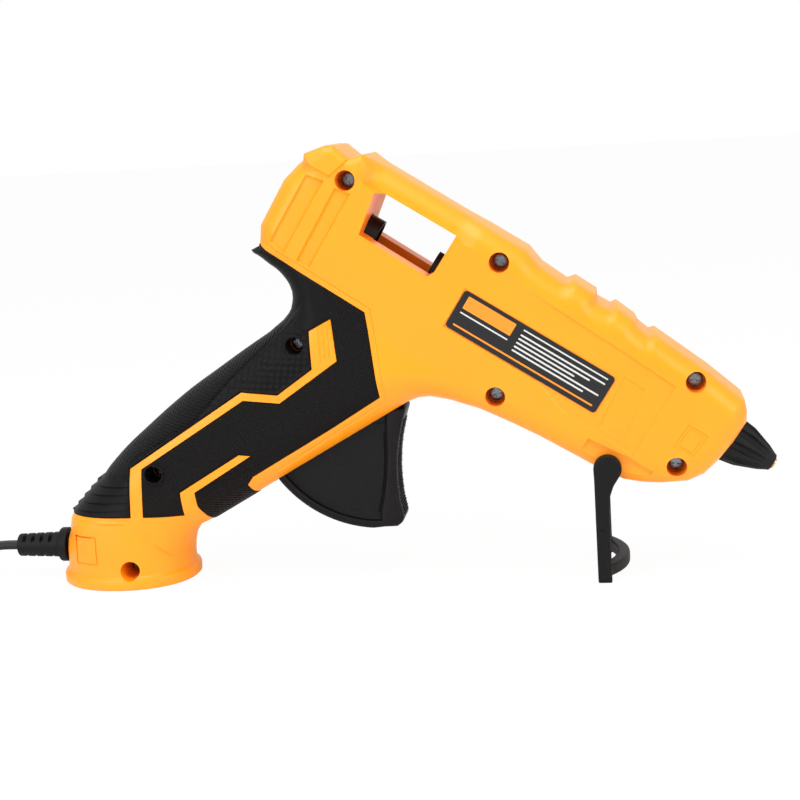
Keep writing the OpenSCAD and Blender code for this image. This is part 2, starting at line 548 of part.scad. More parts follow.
module cord_lead() color("#1a1a1a") sweep(smooth(lead_out), cord_w / 2, cord_t / 2, [0, 0, 1], 90);
module cord_tail() color("#1a1a1a") sweep(smooth(tail_out), cord_t / 2, cord_w / 2, [0, 0, 1]);
module loop(r) hull() for (x = coil_ends) translate([x, coil_y]) circle(r = r);
module cord_coil() color("#1a1a1a") difference() {
    linear_extrude(coil_top) difference() {
        loop(coil_r + coil_w / 2);
        loop(coil_r - coil_w / 2);
    }
    at_tie() box([0, 8], [coil_r - coil_w / 2 - 2, coil_r + coil_w / 2 + 2], [-1, 0.8]);
}
module at_tie() translate([tie_x - 4, coil_y, 0]) mirror([0, 1, 0]) children();
module coil_tie() color("#333333") at_tie() difference() {
    box([0.1, 7.9], [coil_r - coil_w / 2 - 1.4, coil_r + coil_w / 2 + 1], [0, coil_top + 0.9]);
    box([-1, 9], [coil_r - coil_w / 2 - 0.6, coil_r + coil_w / 2 + 0.2], [0.78, coil_top + 0.1]);
}
// The plug is drawn along Y and lies in line with the gun
module at_plug() translate([plug_x, plug_y, plug_t / 2]) rotate([0, 0, 90]) children();
module plug_body() color("#1a1a1a") at_plug() difference() {
    hull() {
        box([-plug_w / 2, plug_w / 2], [plug_l - 14, plug_l], [-plug_t / 2 + 2, plug_t / 2 - 2]);
        box([-plug_w / 2 + 2, plug_w / 2 - 2], [plug_l - 15, plug_l], [-plug_t / 2, plug_t / 2]);
        box([-5.5, 5.5], [4, 8], [-4.5, 4.5]);
        translate([0, 0.2, 0]) rotate([-90, 0, 0]) cylinder(h = 1, r = 3.2, $fn = 24);
    }
    for (s = [-1, 1]) translate([s * pin_gap / 2, 0, 0]) across(plug_l - 8, plug_l + 1, pin_root / 2);
}
module plug_pins() color("silver") at_plug() for (s = [-1, 1])
    translate([s * pin_gap / 2, 0, 0]) {
        across(plug_l - 8, plug_l + 1, pin_root / 2);
        across(plug_l + 0.9, plug_l + 19, pin_d / 2);
    }

casing_right();
casing_left();
grip_right();
grip_left();
label_plate();
inlet_bush();
inlet_sleeve();
sleeve_clip();
melt_chamber();
rear_spacer();
front_spacer();
heater_insulation();
heater_electrodes();
ptc_heater();
heater_clip();
nozzle();
valve_ball();
valve_spring();
nozzle_cover();
feed_carriage();
drive_pin();
gripper_jaw();
jaw_pin();
trigger();
trigger_pin();
trigger_spring();
stand();
casing_screws();
cord_clamp();
clamp_screws();
lead_wires();
wire_crimps();
strain_relief();
cord_inner_end();
cord_lead();
cord_coil();
cord_tail();
coil_tie();
plug_body();
plug_pins();
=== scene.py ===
"""Hot-melt glue gun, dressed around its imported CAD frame.

The frame is +X towards the nozzle, +Z up, and the casing halves meet at Y = 0. Meshes are worked out in
millimetres and stored in metres. Side -1 is the right half, which faces the camera, and +1 the left half.
"""

import math

import bmesh
import bpy
import numpy as np
from mathutils import Matrix, Vector
from mathutils.geometry import delaunay_2d_cdt


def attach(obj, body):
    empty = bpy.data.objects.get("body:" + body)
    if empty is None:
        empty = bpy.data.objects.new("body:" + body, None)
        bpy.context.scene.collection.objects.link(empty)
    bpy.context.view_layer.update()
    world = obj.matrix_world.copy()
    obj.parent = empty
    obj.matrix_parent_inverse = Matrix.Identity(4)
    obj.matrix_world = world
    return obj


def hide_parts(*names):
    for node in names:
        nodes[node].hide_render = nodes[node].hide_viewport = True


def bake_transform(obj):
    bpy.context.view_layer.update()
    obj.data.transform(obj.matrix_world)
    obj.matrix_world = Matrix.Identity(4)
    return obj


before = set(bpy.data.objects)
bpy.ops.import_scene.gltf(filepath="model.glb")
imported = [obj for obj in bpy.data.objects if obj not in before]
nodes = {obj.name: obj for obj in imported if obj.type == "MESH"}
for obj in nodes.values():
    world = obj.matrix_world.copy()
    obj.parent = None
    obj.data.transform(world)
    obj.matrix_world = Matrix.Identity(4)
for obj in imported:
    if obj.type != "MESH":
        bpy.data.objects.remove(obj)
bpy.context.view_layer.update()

# ---- Camera ----
# A long lens on a low tripod, a little ahead of the gun's side and a little above it, with a slight roll.

CAMERA_PLACE = (0.18372, -0.53499, 0.16364)
CAMERA_TURN, CAMERA_RISE, CAMERA_ROLL = map(math.radians, (8.4, 10.5, 3.3))

camera = bpy.data.objects.new("camera", bpy.data.cameras.new("camera"))
camera.matrix_world = (Matrix.Translation(CAMERA_PLACE) @ Matrix.Rotation(CAMERA_TURN, 4, "Z")
                       @ Matrix.Rotation(math.pi / 2 - CAMERA_RISE, 4, "X") @ Matrix.Rotation(-CAMERA_ROLL, 4, "Z"))
camera.data.lens = 68.76
camera.data.sensor_width = 36
camera.data.clip_start = 0.01
bpy.context.scene.collection.objects.link(camera)
bpy.context.scene.camera = camera

# ---- Mains cord ----
# Flat two-core cord in matt black PVC, 5.2 by 3.2 mm. It leaves the boot flat, turns on edge on its way down
# to the table and is put away in a flat hank of two layers, behind the gun. A tie holds it, and its plug follows.

MM = 0.001
CORD_WIDTH, CORD_THICKNESS = 5.2, 3.2
CORD_EXIT = (-43.85, 0.0, 12.0)
HANK_ENDS = (-104.4, -174.4)
HANK_Y = 2.4
HANK_RADII, HANK_ROWS = (22.7, 19.2, 15.7), (2.75, 8.25)


def srgb(code):
    """A hex colour, as it is written for a screen, turned to Blender's linear values."""
    parts = [int(code[i:i + 2], 16) / 255 for i in (1, 3, 5)]
    return tuple(c / 12.92 if c <= 0.04045 else ((c + 0.055) / 1.055) ** 2.4 for c in parts) + (1.0,)


def node(tree, kind, links=None, **settings):
    """Adds one node. A setting named i3 sets input 3, any other the node's own property. Links go from its inputs
    to sockets, or to nodes for their first output."""
    made = tree.nodes.new(kind)
    for name, value in settings.items():
        if name[0] == "i" and name[1:].isdigit():
            made.inputs[int(name[1:])].default_value = value
        else:
            setattr(made, name, value)
    for place, source in (links or {}).items():
        tree.links.new(source.outputs[0] if isinstance(source, bpy.types.Node) else source, made.inputs[place])
    return made


def bumped(tree, height, strength, depth):
    """A relief of a depth in mm, on top of any relief that the surface has already."""
    normal = tree.nodes["Principled BSDF"].inputs["Normal"]
    links = {"Height": height}
    if normal.links:
        links["Normal"] = normal.links[0].from_socket
    bump = node(tree, "ShaderNodeBump", links, i0=strength, i1=depth * MM)
    tree.links.new(bump.outputs[0], normal)


def finish_of(name, colour, roughness, patches=None, *grains, metallic=0.0, ior=1.5, specular=0.5):
    """A new material. patches are (light, dark, size, low, high): colour and roughness drift between two values
    over patches of a size in mm. Each grain is (size, depth, strength), in mm, as a mould or tool leaves it."""
    made = bpy.data.materials.new(name)
    made.use_nodes = True
    tree = made.node_tree
    shader = tree.nodes["Principled BSDF"]
    for word, value in (("Base Color", srgb(colour)), ("Roughness", roughness), ("Metallic", metallic), ("IOR", ior),
                        ("Specular IOR Level", specular)):
        shader.inputs[word].default_value = value
    place = node(tree, "ShaderNodeTexCoord").outputs["Object"]
    if patches:
        light, dark, size, low, high = patches
        spots = node(tree, "ShaderNodeTexNoise", {"Vector": place}, i2=1 / (size * MM), i3=3.0)
        shade = node(tree, "ShaderNodeMix", {0: spots}, data_type="RGBA", i6=srgb(dark), i7=srgb(light))
        tree.links.new(shade.outputs[2], shader.inputs["Base Color"])
        gloss = node(tree, "ShaderNodeMapRange", {0: spots}, i3=low, i4=high)
        tree.links.new(gloss.outputs[0], shader.inputs["Roughness"])
    for size, depth, strength in grains:
        bumped(tree, node(tree, "ShaderNodeTexNoise", {"Vector": place}, i2=1 / (size * MM), i3=2.0), strength, depth)
    return made


# Flexible PVC, extruded: smooth and a little greasy, so it takes broad soft highlights.
pvc = finish_of("extruded_pvc_black", "#0E0E10", 0.5, ("#121214", "#0B0B0D", 9.0, 0.42, 0.58), (0.5, 0.03, 0.6),
                specular=0.3)


def eased(value):
    """A step from 0 to 1 with soft ends, for a number or an array."""
    value = np.clip(value, 0, 1)
    return value * value * (3 - 2 * value)


def arc_points(centre, radius, start, end, count):
    """Points on an arc between two angles in degrees."""
    angles = [math.radians(start + (end - start) * k / (count - 1)) for k in range(count)]
    return [(centre[0] + radius * math.cos(a), centre[1] + radius * math.sin(a)) for a in angles]


def bend(centre, radius, start, end, height):
    """Points of the cord round a bend, about 2.5 mm apart, with their heights worked out from x."""
    count = max(2, round(radius * abs(math.radians(end - start)) / 2.5))
    return [Vector((x, y, height(x))) for x, y in arc_points(centre, radius, start, end, count + 1)]


def falling(x):
    """The cord's height on its way from the boot down to the hank."""
    return CORD_EXIT[2] + (HANK_ROWS[0] - CORD_EXIT[2]) * eased((-48 - x) / 50)


# The hank: (radius, height) of each lap, and when in a lap the cord moves on to the next place. All moves happen
# on the far straight, one after another, so that no two laps meet.
LAPS = [(r, h) for h, radii in zip(HANK_ROWS, (HANK_RADII, HANK_RADII[::-1])) for r in radii]
MOVES = ((0.67, 0.765), (0.645, 0.75), (0.585, 0.70), (0.54, 0.64), (0.50, 0.60))
STRAIGHT = 0.2686


def hank_point(phase):
    """A point of the hank, where phase counts its laps. Each lap is a straight and a half turn, and both again."""
    lap = min(int(phase), len(MOVES))
    part = phase - lap
    radius, height = LAPS[lap]
    if lap < len(MOVES):
        share = eased((part - MOVES[lap][0]) / (MOVES[lap][1] - MOVES[lap][0]))
        radius += (LAPS[lap + 1][0] - radius) * share
        height += (LAPS[lap + 1][1] - height) * share
    length = HANK_ENDS[1] - HANK_ENDS[0]
    way = -1 if part >= 0.5 else 1
    part %= 0.5
    a = math.pi * max(part - STRAIGHT, 0) / (0.5 - STRAIGHT)
    along = length * min(part / STRAIGHT, 1) - radius * math.sin(a)
    return Vector((HANK_ENDS[0] + length / 2 + way * (along - length / 2), HANK_Y - way * radius * math.cos(a), height))


# The cord leaves the hank part of the way round its far end and turns back in line with the plug.
LEAVES, TAIL_RADIUS = 46.5, 21.5
last_phase = 5 + STRAIGHT + LEAVES / 180 * (0.5 - STRAIGHT)
steps = round(last_phase * 96)
hank = [hank_point(last_phase * k / steps) for k in range(steps + 1)]
out = [Vector((x, 0, falling(x))) for x in (-44.2, -46.6, -49.3, -52, -54.5, -57, -59.3)]
out += bend((-61.5, -24), 24, 90, 144.8, falling)
out += bend((-100.7, 3.7), 24, -35.2, -90, falling)[1:]
leave = math.radians(LEAVES)
centre = hank[-1] - TAIL_RADIUS * Vector((math.sin(leave), math.cos(leave), 0))
tail = bend(centre, TAIL_RADIUS, 90 - LEAVES, 90, lambda x: HANK_ROWS[1] - 1.4 * eased((hank[-1].x - x) / 15))[1:]
cord_route = out + hank + tail
twist_end = sum((b - a).length for a, b in zip(out, out[1:]))


def build(name, verts, faces, material=None):
    """A mesh object at the origin from points in mm."""
    mesh = bpy.data.meshes.new(name)
    mesh.from_pydata([tuple(c * MM for c in v) for v in verts], [], [tuple(f) for f in faces])
    mesh.update()
    made = bpy.data.objects.new(name, mesh)
    bpy.context.scene.collection.objects.link(made)
    if material:
        mesh.materials.append(material)
    return made


def outwards(made):
    """Merges doubles and turns all faces outwards."""
    work = bmesh.new()
    work.from_mesh(made.data)
    bmesh.ops.remove_doubles(work, verts=work.verts, dist=1e-7)
    bmesh.ops.recalc_face_normals(work, faces=work.faces)
    work.to_mesh(made.data)
    work.free()
    made.data.update()
    return made


def lofted(name, rows, ring=False):
    """A closed solid through rows of points. Each row goes round the solid, and with ring the rows do so too."""
    n, k = len(rows), len(rows[0])
    faces = [(i * k + j, i * k + (j + 1) % k, (i + 1) % n * k + (j + 1) % k, (i + 1) % n * k + j)
             for i in range(n if ring else n - 1) for j in range(k)]
    if not ring:
        faces += [tuple(range(k))[::-1], tuple(range((n - 1) * k, n * k))]
    return outwards(build(name, [p for row in rows for p in row], faces))


def finished(made, material, body, slot, *replaced, angle=34):
    """Smooth shading with a crease at an angle in degrees, and the piece's material, body and nodes. The slot is not
    used.
    """
    if material:
        made.data.materials.clear()
        made.data.materials.append(material)
    made.data.shade_smooth()
    made.data.set_sharp_from_angle(angle=math.radians(angle))
    if body:
        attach(made, body)
    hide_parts(*replaced)
    return made


def flat_section(width, thickness, groove=0.35, count=28):
    """A flat cord's section: two round cores side by side with a shallow valley between them."""
    section = []
    for k in range(count):
        a = 2 * math.pi * k / count
        c, s = math.cos(a), math.sin(a)
        x = (width - thickness) / 2 * (1 if c > 0 else -1) * min(1, abs(c) * 1.6) + thickness / 2 * c
        y = thickness / 2 * s * (1 - groove / thickness * 2 * math.exp(-(c / 0.28) ** 2))
        section.append((x, y))
    return section


def tube(name, route, section, turn=lambda i: 0):
    """A tube along a route. turn(i) says how far the section is turned, 0 flat and 90 on edge."""
    rows = []
    for i, p in enumerate(route):
        t = (route[min(i + 1, len(route) - 1)] - route[max(i - 1, 0)]).normalized()
        side = t.cross(Vector((0, 0, 1))).normalized()
        rise = side.cross(t)
        a = math.radians(turn(i))
        rows.append([p + side * (x * math.cos(a) - y * math.sin(a)) + rise * (x * math.sin(a) + y * math.cos(a))
                     for x, y in section])
    return lofted(name, rows)


travel = [0.0]
for a, b in zip(cord_route, cord_route[1:]):
    travel.append(travel[-1] + (b - a).length)
cord = tube("mains_cord", cord_route, flat_section(CORD_WIDTH, CORD_THICKNESS),
            lambda i: 90 * eased((travel[i] - 6) / (twist_end - 12)))
finished(cord, pvc, "housing", "cord_rubber", "cord_lead", "cord_coil", "cord_tail", angle=50)

# ---- Floor and light ----
# A white seamless sweep under large soft lamps: one over the gun, one in front and a weak one at the nozzle's end.

WHITE = srgb("#FFFFFF")
FLOOR_SINK = -0.00003
scene = bpy.context.scene
scene.view_settings.view_transform = "Standard"
paper = finish_of("white_paper", "#FFFFFF", 0.9, None, (2.0, 0.02, 0.2))
tree = paper.node_tree
plain = node(tree, "ShaderNodeEmission", i0=WHITE, i1=1.0)
seen = node(tree, "ShaderNodeLightPath")
fade = node(tree, "ShaderNodeMath", {0: seen.outputs["Is Camera Ray"]}, operation="MULTIPLY", i1=0.96)
blend = node(tree, "ShaderNodeMixShader", {0: fade, 1: tree.nodes["Principled BSDF"], 2: plain})
tree.links.new(blend.outputs[0], tree.nodes["Material Output"].inputs["Surface"])
FLOOR_REACH = 6000
corners = [(x * FLOOR_REACH, y * FLOOR_REACH, 0) for x, y in ((-1, -1), (1, -1), (1, 1), (-1, 1))]
floor = build("floor", corners, [(0, 1, 2, 3)], paper)
floor.location.z = FLOOR_SINK

world = bpy.data.worlds.new("studio")
scene.world = world
world.use_nodes = True
tree = world.node_tree
background = tree.nodes["Background"]
background.inputs[0].default_value = WHITE
background.inputs[1].default_value = 0.42
white = node(tree, "ShaderNodeBackground", i0=WHITE, i1=1.0)
ray = node(tree, "ShaderNodeLightPath")
any_of = ray.outputs["Is Camera Ray"]
for word in ("Is Transmission Ray", "Is Glossy Ray"):
    any_of = node(tree, "ShaderNodeMath", {0: any_of, 1: ray.outputs[word]}, operation="MAXIMUM")
mix = node(tree, "ShaderNodeMixShader", {0: any_of, 1: background, 2: white})
tree.links.new(mix.outputs[0], tree.nodes["World Output"].inputs["Surface"])


def lamp(name, place, aim, size, power):
    made = bpy.data.objects.new(name, bpy.data.lights.new(name, "AREA"))
    made.data.size = size
    made.data.energy = power
    made.location = place
    made.rotation_euler = (Vector(aim) - Vector(place)).to_track_quat("-Z", "Y").to_euler()
    scene.collection.objects.link(made)


lamp("lamp_over", (0.10, -0.25, 0.95), (0.09, 0.0, 0.06), 0.8, 8.0)
lamp("lamp_front", (-0.55, -0.95, 0.45), (0.09, 0.0, 0.08), 0.7, 6.0)
lamp("lamp_right", (0.95, -0.55, 0.45), (0.09, 0.0, 0.08), 0.6, 4.0)

# ---- Finishes of the inner pieces ----
# The pieces inside keep their CAD shapes. Their finishes follow what each is made of.

# Glass-filled nylon, moulded in an etched mould: near black and satin, with a fine grain.
nylon = finish_of("moulded_nylon_black", "#0B0A0C", 0.45, ("#0E0D0F", "#080709", 14.0, 0.36, 0.48), (0.45, 0.04, 0.7),
                  specular=0.25)
# Silicone rubber, moulded: matt and a little dusty.
silicone = finish_of("silicone_rubber_black", "#0C0B0D", 0.55, ("#100F11", "#090809", 7.0, 0.55, 0.7),
                     (0.35, 0.03, 0.7), ior=1.41, specular=0.3)
# Aluminium, die cast and bead blasted: pale grey, soft sparkle.
aluminium = finish_of("die_cast_aluminium", "#A9ABAD", 0.45, ("#B4B6B8", "#9A9C9E", 5.0, 0.38, 0.55), (0.4, 0.05, 0.8),
                      metallic=1.0)
# Brass, turned: warm yellow with fine rings from the tool.
brass = finish_of("turned_brass", "#C9A45C", 0.28, ("#D2AE68", "#B8924C", 2.0, 0.22, 0.36), (0.2, 0.015, 0.5),
                  metallic=1.0)
# Steel, drawn and cut: mid grey with a faint grain.
steel = finish_of("drawn_steel", "#9A9C9F", 0.32, ("#A6A8AB", "#85878A", 3.0, 0.26, 0.42), (0.25, 0.015, 0.5),
                  metallic=1.0)
# Steel, zinc plated and passivated: darker than bare steel, with a slightly cloudy film.
zinc = finish_of("zinc_plated_steel", "#74777C", 0.22, ("#8C9096", "#585B60", 1.2, 0.16, 0.34), (0.3, 0.02, 0.6),
                 metallic=1.0)
# Steatite ceramic, pressed: off-white, dry and finely speckled.
ceramic = finish_of("pressed_steatite", "#D8CDB8", 0.75, ("#E0D6C3", "#C9BCA4", 1.0, 0.68, 0.85), (0.5, 0.05, 0.8))
# Polyimide film: clear amber, smooth and glossy.
polyimide = finish_of("polyimide_film_amber", "#B8823A", 0.2, ("#C08A40", "#A87430", 6.0, 0.15, 0.28), (3.0, 0.05, 0.3))
# Glass-fibre sleeve: a white tight braid of about half a millimetre.
sleeve = finish_of("braided_glass_sleeve", "#E6E2D8", 0.7, ("#EDEAE1", "#CFCABD", 0.6, 0.6, 0.8), (0.5, 0.08, 1.0))

INNER = {
    nylon: ("inlet_bush", "cord_clamp", "feed_carriage"),
    silicone: ("inlet_sleeve",),
    aluminium: ("melt_chamber",),
    brass: ("nozzle",),
    steel: ("sleeve_clip", "heater_electrodes", "heater_clip", "valve_ball", "valve_spring", "drive_pin",
            "gripper_jaw", "jaw_pin", "trigger_pin", "wire_crimps"),
    zinc: ("clamp_screws",),
    ceramic: ("rear_spacer", "front_spacer", "ptc_heater"),
    polyimide: ("heater_insulation",),
    sleeve: ("lead_wires",),
    pvc: ("cord_inner_end",),
}
for material, names in INNER.items():
    for name in names:
        nodes[name].data.materials.clear()
        nodes[name].data.materials.append(material)

# ---- Casing halves ----
# Two moulded halves in satin orange-yellow ABS. Each is drawn as a relief: the outline that is seen from the
# side, filled with a height over the parting plane that rounds off towards the outline and steps down into
# panels, slots and the bed of the soft grip. The foot is a flared oval that runs into the handle.

BARREL, FEED = (math.radians(33), 159.0), (math.radians(32), 156.1)


def tilted(points, angle, height):
    """Points (along a line that falls towards the nozzle, above it) turned to (x, z)."""
    c, s = math.cos(angle), math.sin(angle)
    return [(a * c + (t + height) * s, (t + height) * c - a * s) for a, t in points]


def in_barrel(points):
    return tilted(points, *BARREL)


def in_feed(points):
    """The same for the glue path, which is tilted a degree less."""
    return tilted(points, *FEED)


def to_barrel(p):
    """How far along the barrel and above its line each point lies."""
    c, s = math.cos(BARREL[0]), math.sin(BARREL[0])
    return p[:, 0] * c - p[:, 1] * s, p[:, 0] * s + p[:, 1] * c - BARREL[1]


def curved(points, steps=3):
    """A smooth curve through points."""
    made = []
    for i in range(len(points) - 1):
        a, b, c, d = points[max(i - 1, 0)], points[i], points[i + 1], points[min(i + 2, len(points) - 1)]
        for k in range(steps):
            t = k / steps
            made.append(tuple(round(q + (r - p) * t / 2 + (2 * p - 5 * q + 4 * r - w) * t * t / 2
                                    + (3 * q - p - 3 * r + w) * t * t * t / 2, 3) for p, q, r, w in zip(a, b, c, d)))
    return made + [points[-1]]


THROAT = curved([(57.8, 119.7), (60.1, 118.2), (62.9, 115.8), (65.6, 113.7), (67.8, 111.2), (69.8, 107.7),
                 (70.3, 103.2), (68.6, 98.4), (65.4, 94.6)])
BACK_STRAP = curved([(59.8, 90.3), (49.9, 84.2), (39.7, 77.6), (30, 71.3), (20.3, 64.1), (10.7, 56.3), (3.9, 50.6),
                     (-2.6, 44.1), (-5.9, 40.2), (-12.8, 33.4), (-19.7, 25.9)])
TOP_AND_NOSE = [(102.2, -31.9), (114.1, -31.4), (126, -30.9), (131, -30.5), (135.3, -29.6), (141, -27.2),
                (146.5, -24.1), (154, -18.5), (157.3, -13.4), (158.8, -7.4), (159.8, 1), (159.9, 9.5), (158, 12.7),
                (155.5, 15.4),
                (140.1, 17.6), (117.6, 19.4), (116.1, 17.8), (111.3, 18.6), (109.1, 19.9), (101.1, 20.7), (100, 18.9),
                (94.7, 18.7), (93.1, 20.8), (84.3, 21.1), (82.3, 18.7), (71.7, 19.4), (65.1, 21.8), (0.4, 22.1),
                (-3.2, 18.6), (-9.9, 19.6), (-12.4, 18.2), (-17.3, 12.3), (-16.8, 9.8), (-17.8, 8), (-19.8, 0.4),
                (-19.4, -17.4), (-16.2, -24), (-17.9, -26.7)]
FRONT_STRAP = [(35.1, 23.1), (51.7, 32.3)]
OUTLINE = ([(-18.5, 8), (21.5, 8), (24.2, 14.6), (26.3, 17.8), (29.2, 20.4), (34.9, 23)] + FRONT_STRAP
           + [(51.9, 32.4), (109, 64), (112.6, 65.3), (116.9, 65.7),
            (123.9, 64.4), (134.3, 61.1), (144.5, 56.3)] + in_barrel(TOP_AND_NOSE) + THROAT + BACK_STRAP
           + [(-20.5, 21.8), (-20.5, 17)])
GRIP_PANEL = [(-40, 26.6), (30, 26.6), (31, 14), (55, 30), (51.9, 32.6), (50.3, 37.1), (52.7, 40.2), (81.4, 56.4),
              (100.3, 67.7), (96.7, 97.9), (61.2, 122), (50, 130), (-40, 60)]
ZIGZAG = [(6.7, 20), (7.8, 44.4), (51.2, 71.3), (64.2, 69.9), (77.2, 78.7), (76.9, 92.1), (84.6, 96), (86.1, 81.4),
          (64.8, 67.1), (51.7, 68.5), (17.3, 47.5), (12.3, 44.5), (11.1, 20)]
HOOK = [(26.1, 35.6), (48.7, 48.8), (52.8, 48.4), (31.3, 35.5), (31.6, 30), (34.9, 22.8), (34, 12), (27.1, 12)]
GRIP_DEPTH, GRIP_GAP = 1.2, 0.12
GROOVE, LEDGE, LEDGE_SLOPE = 0.45, 13.4, 0.8
PARTING = 0.06


def area_of(points):
    return 0.5 * sum(a[0] * b[1] - b[0] * a[1] for a, b in zip(points, points[1:] + points[:1]))


def away_from(p, line):
    """The distance of each point from an open line."""
    near = np.full(len(p), 1e9)
    for (ax, az), (bx, bz) in zip(line, line[1:]):
        dx, dz = bx - ax, bz - az
        t = np.clip(((p[:, 0] - ax) * dx + (p[:, 1] - az) * dz) / (dx * dx + dz * dz), 0, 1)
        near = np.minimum(near, np.hypot(p[:, 0] - ax - t * dx, p[:, 1] - az - t * dz))
    return near


def depth_inside(p, polygon):
    """How deep each point lies inside a polygon, negative outside it."""
    closed = list(polygon) + [polygon[0]]
    inside = np.zeros(len(p), bool)
    for (ax, az), (bx, bz) in zip(closed, closed[1:]):
        if az != bz:
            inside ^= ((az > p[:, 1]) != (bz > p[:, 1])) & (p[:, 0] < ax + (p[:, 1] - az) / (bz - az) * (bx - ax))
    return np.where(inside, 1, -1) * away_from(p, closed)


def shifted(points, by, closed=True):
    """A polygon moved inwards by a distance, or a line moved to its left."""
    if closed and area_of(points) < 0:
        by = -by
    n, made = len(points), []
    for i, p in enumerate(points):
        before, after = points[i - 1 if closed else max(i - 1, 0)], points[(i + 1) % n if closed else min(i + 1, n - 1)]
        sides = [Vector((q[0] - o[0], q[1] - o[1])) for o, q in ((before, p), (p, after))
                 if abs(q[0] - o[0]) + abs(q[1] - o[1]) > 1e-9]
        normals = [Vector((-d.y, d.x)).normalized() for d in sides]
        total = normals[0] + normals[-1]
        reach = by / max(total.dot(normals[0]), 0.6)
        made.append((p[0] + total.x * reach, p[1] + total.y * reach))
    return made


def walked(points, step, closed=True):
    """Points about step mm apart along a line, with its corners kept."""
    made = []
    pairs = list(zip(points, points[1:] + points[:1])) if closed else list(zip(points, points[1:]))
    for a, b in pairs:
        count = max(1, round(math.dist(a, b) / step))
        made += [(a[0] + (b[0] - a[0]) * k / count, a[1] + (b[1] - a[1]) * k / count) for k in range(count)]
    return made if closed else made + [points[-1]]


def handle_share(p):
    """0 on the barrel and 1 on the handle, which is wider and rounder."""
    return eased((-28 - to_barrel(p)[1]) / 16)


def rounded(p, deep, inset=0.0):
    """Height of the plain rounded body over the parting plane, inset mm inside its skin."""
    share = handle_share(p)
    along, above = to_barrel(p)
    crisp = eased((above - 8) / 3) * eased((6 - along) / 6)
    half, radius = 18 + 1.5 * share - inset, 8 + 7 * share - 4.2 * crisp - inset
    short = np.clip(radius - np.maximum(deep - inset, 0), 0, None)
    return half - radius + np.sqrt(np.maximum(radius * radius - short * short, 0))


def grip_share(p):
    """How deep each point lies inside the area of the soft grip."""
    return np.minimum(np.minimum(depth_inside(p, GRIP_PANEL), -depth_inside(p, ZIGZAG)), -depth_inside(p, HOOK))


# Sunken areas: outline in the barrel's frame, depth and width of the slope at its edge.
SUNKEN = [([(-13.1, 6.6), (-13, -19.7), (-6.5, -20.8), (-6.5, 8)], 0.95, 0.7),
          ([(-2.2, 7.8), (-1.7, -21), (3.6, -20.7), (3.7, 8.8)], 0.95, 0.7),
          ([(-23, 12.6), (-12.7, 9.8), (-5.4, 10), (-1.9, 20.6), (-12, 23)], -0.7, 0.5),
          ([(115.5, 2.5), (116.9, -16.8), (127.4, -17.5), (123.8, 2.1)], 0.25, 0.3),
          ([(142.7, -0.4), (142.1, -9.7), (150.2, -9.5), (150.4, -0.4)], 0.3, 0.25),
          ([(143.9, -1.6), (143.4, -8.5), (149, -8.4), (149.2, -1.6)], -0.3, 0.25)]
NOSE_PANEL = [(62, 11.7), (60, -4), (104, -19), (117.6, -19.6), (132.5, -20), (132.3, 8.4), (116.4, 9.4)]
FINE_GROOVES = [[(57.5, 126.9), (98.4, 98.9), (102.1, 67.6)], [(56.2, 38.7), (82.6, 54.6), (101.4, 65.7)]]
TAB_RIBS = [[(78.5 + 1.5 * k, 91.6 + 0.6 * k), (78.8 + 1.6 * k, 80.9 + 0.9 * k)] for k in range(1, 5)]


def casing_height(p):
    along, above = to_barrel(p)
    deep = depth_inside(p, OUTLINE)
    height = rounded(p, deep)
    for outline, depth, slope in SUNKEN:
        height -= depth * np.clip(depth_inside(p, in_barrel(outline)) / slope, 0, 1)
    height -= 0.45 * np.clip(depth_inside(p, in_barrel(NOSE_PANEL)) / 0.5, 0, 1) * eased((along - 62) / 26)
    height -= 0.03 * np.clip(-12 - above, 0, 16) * (1 - handle_share(p))
    bar = eased((along - 3) / 6) * eased((50 - along) / 9)
    height -= 2.7 * bar * np.clip((above - LEDGE) / LEDGE_SLOPE, 0, 1)
    for line in FINE_GROOVES + TAB_RIBS:
        height -= 0.3 * np.clip(1 - away_from(p, line) / GROOVE, 0, 1)
    bed = np.clip(grip_share(p) / GRIP_GAP, 0, 1)
    inner = rounded(p, deep, GRIP_DEPTH)
    return height + (np.minimum(inner, height) - height) * bed


EDGE_PITCH = 1.3


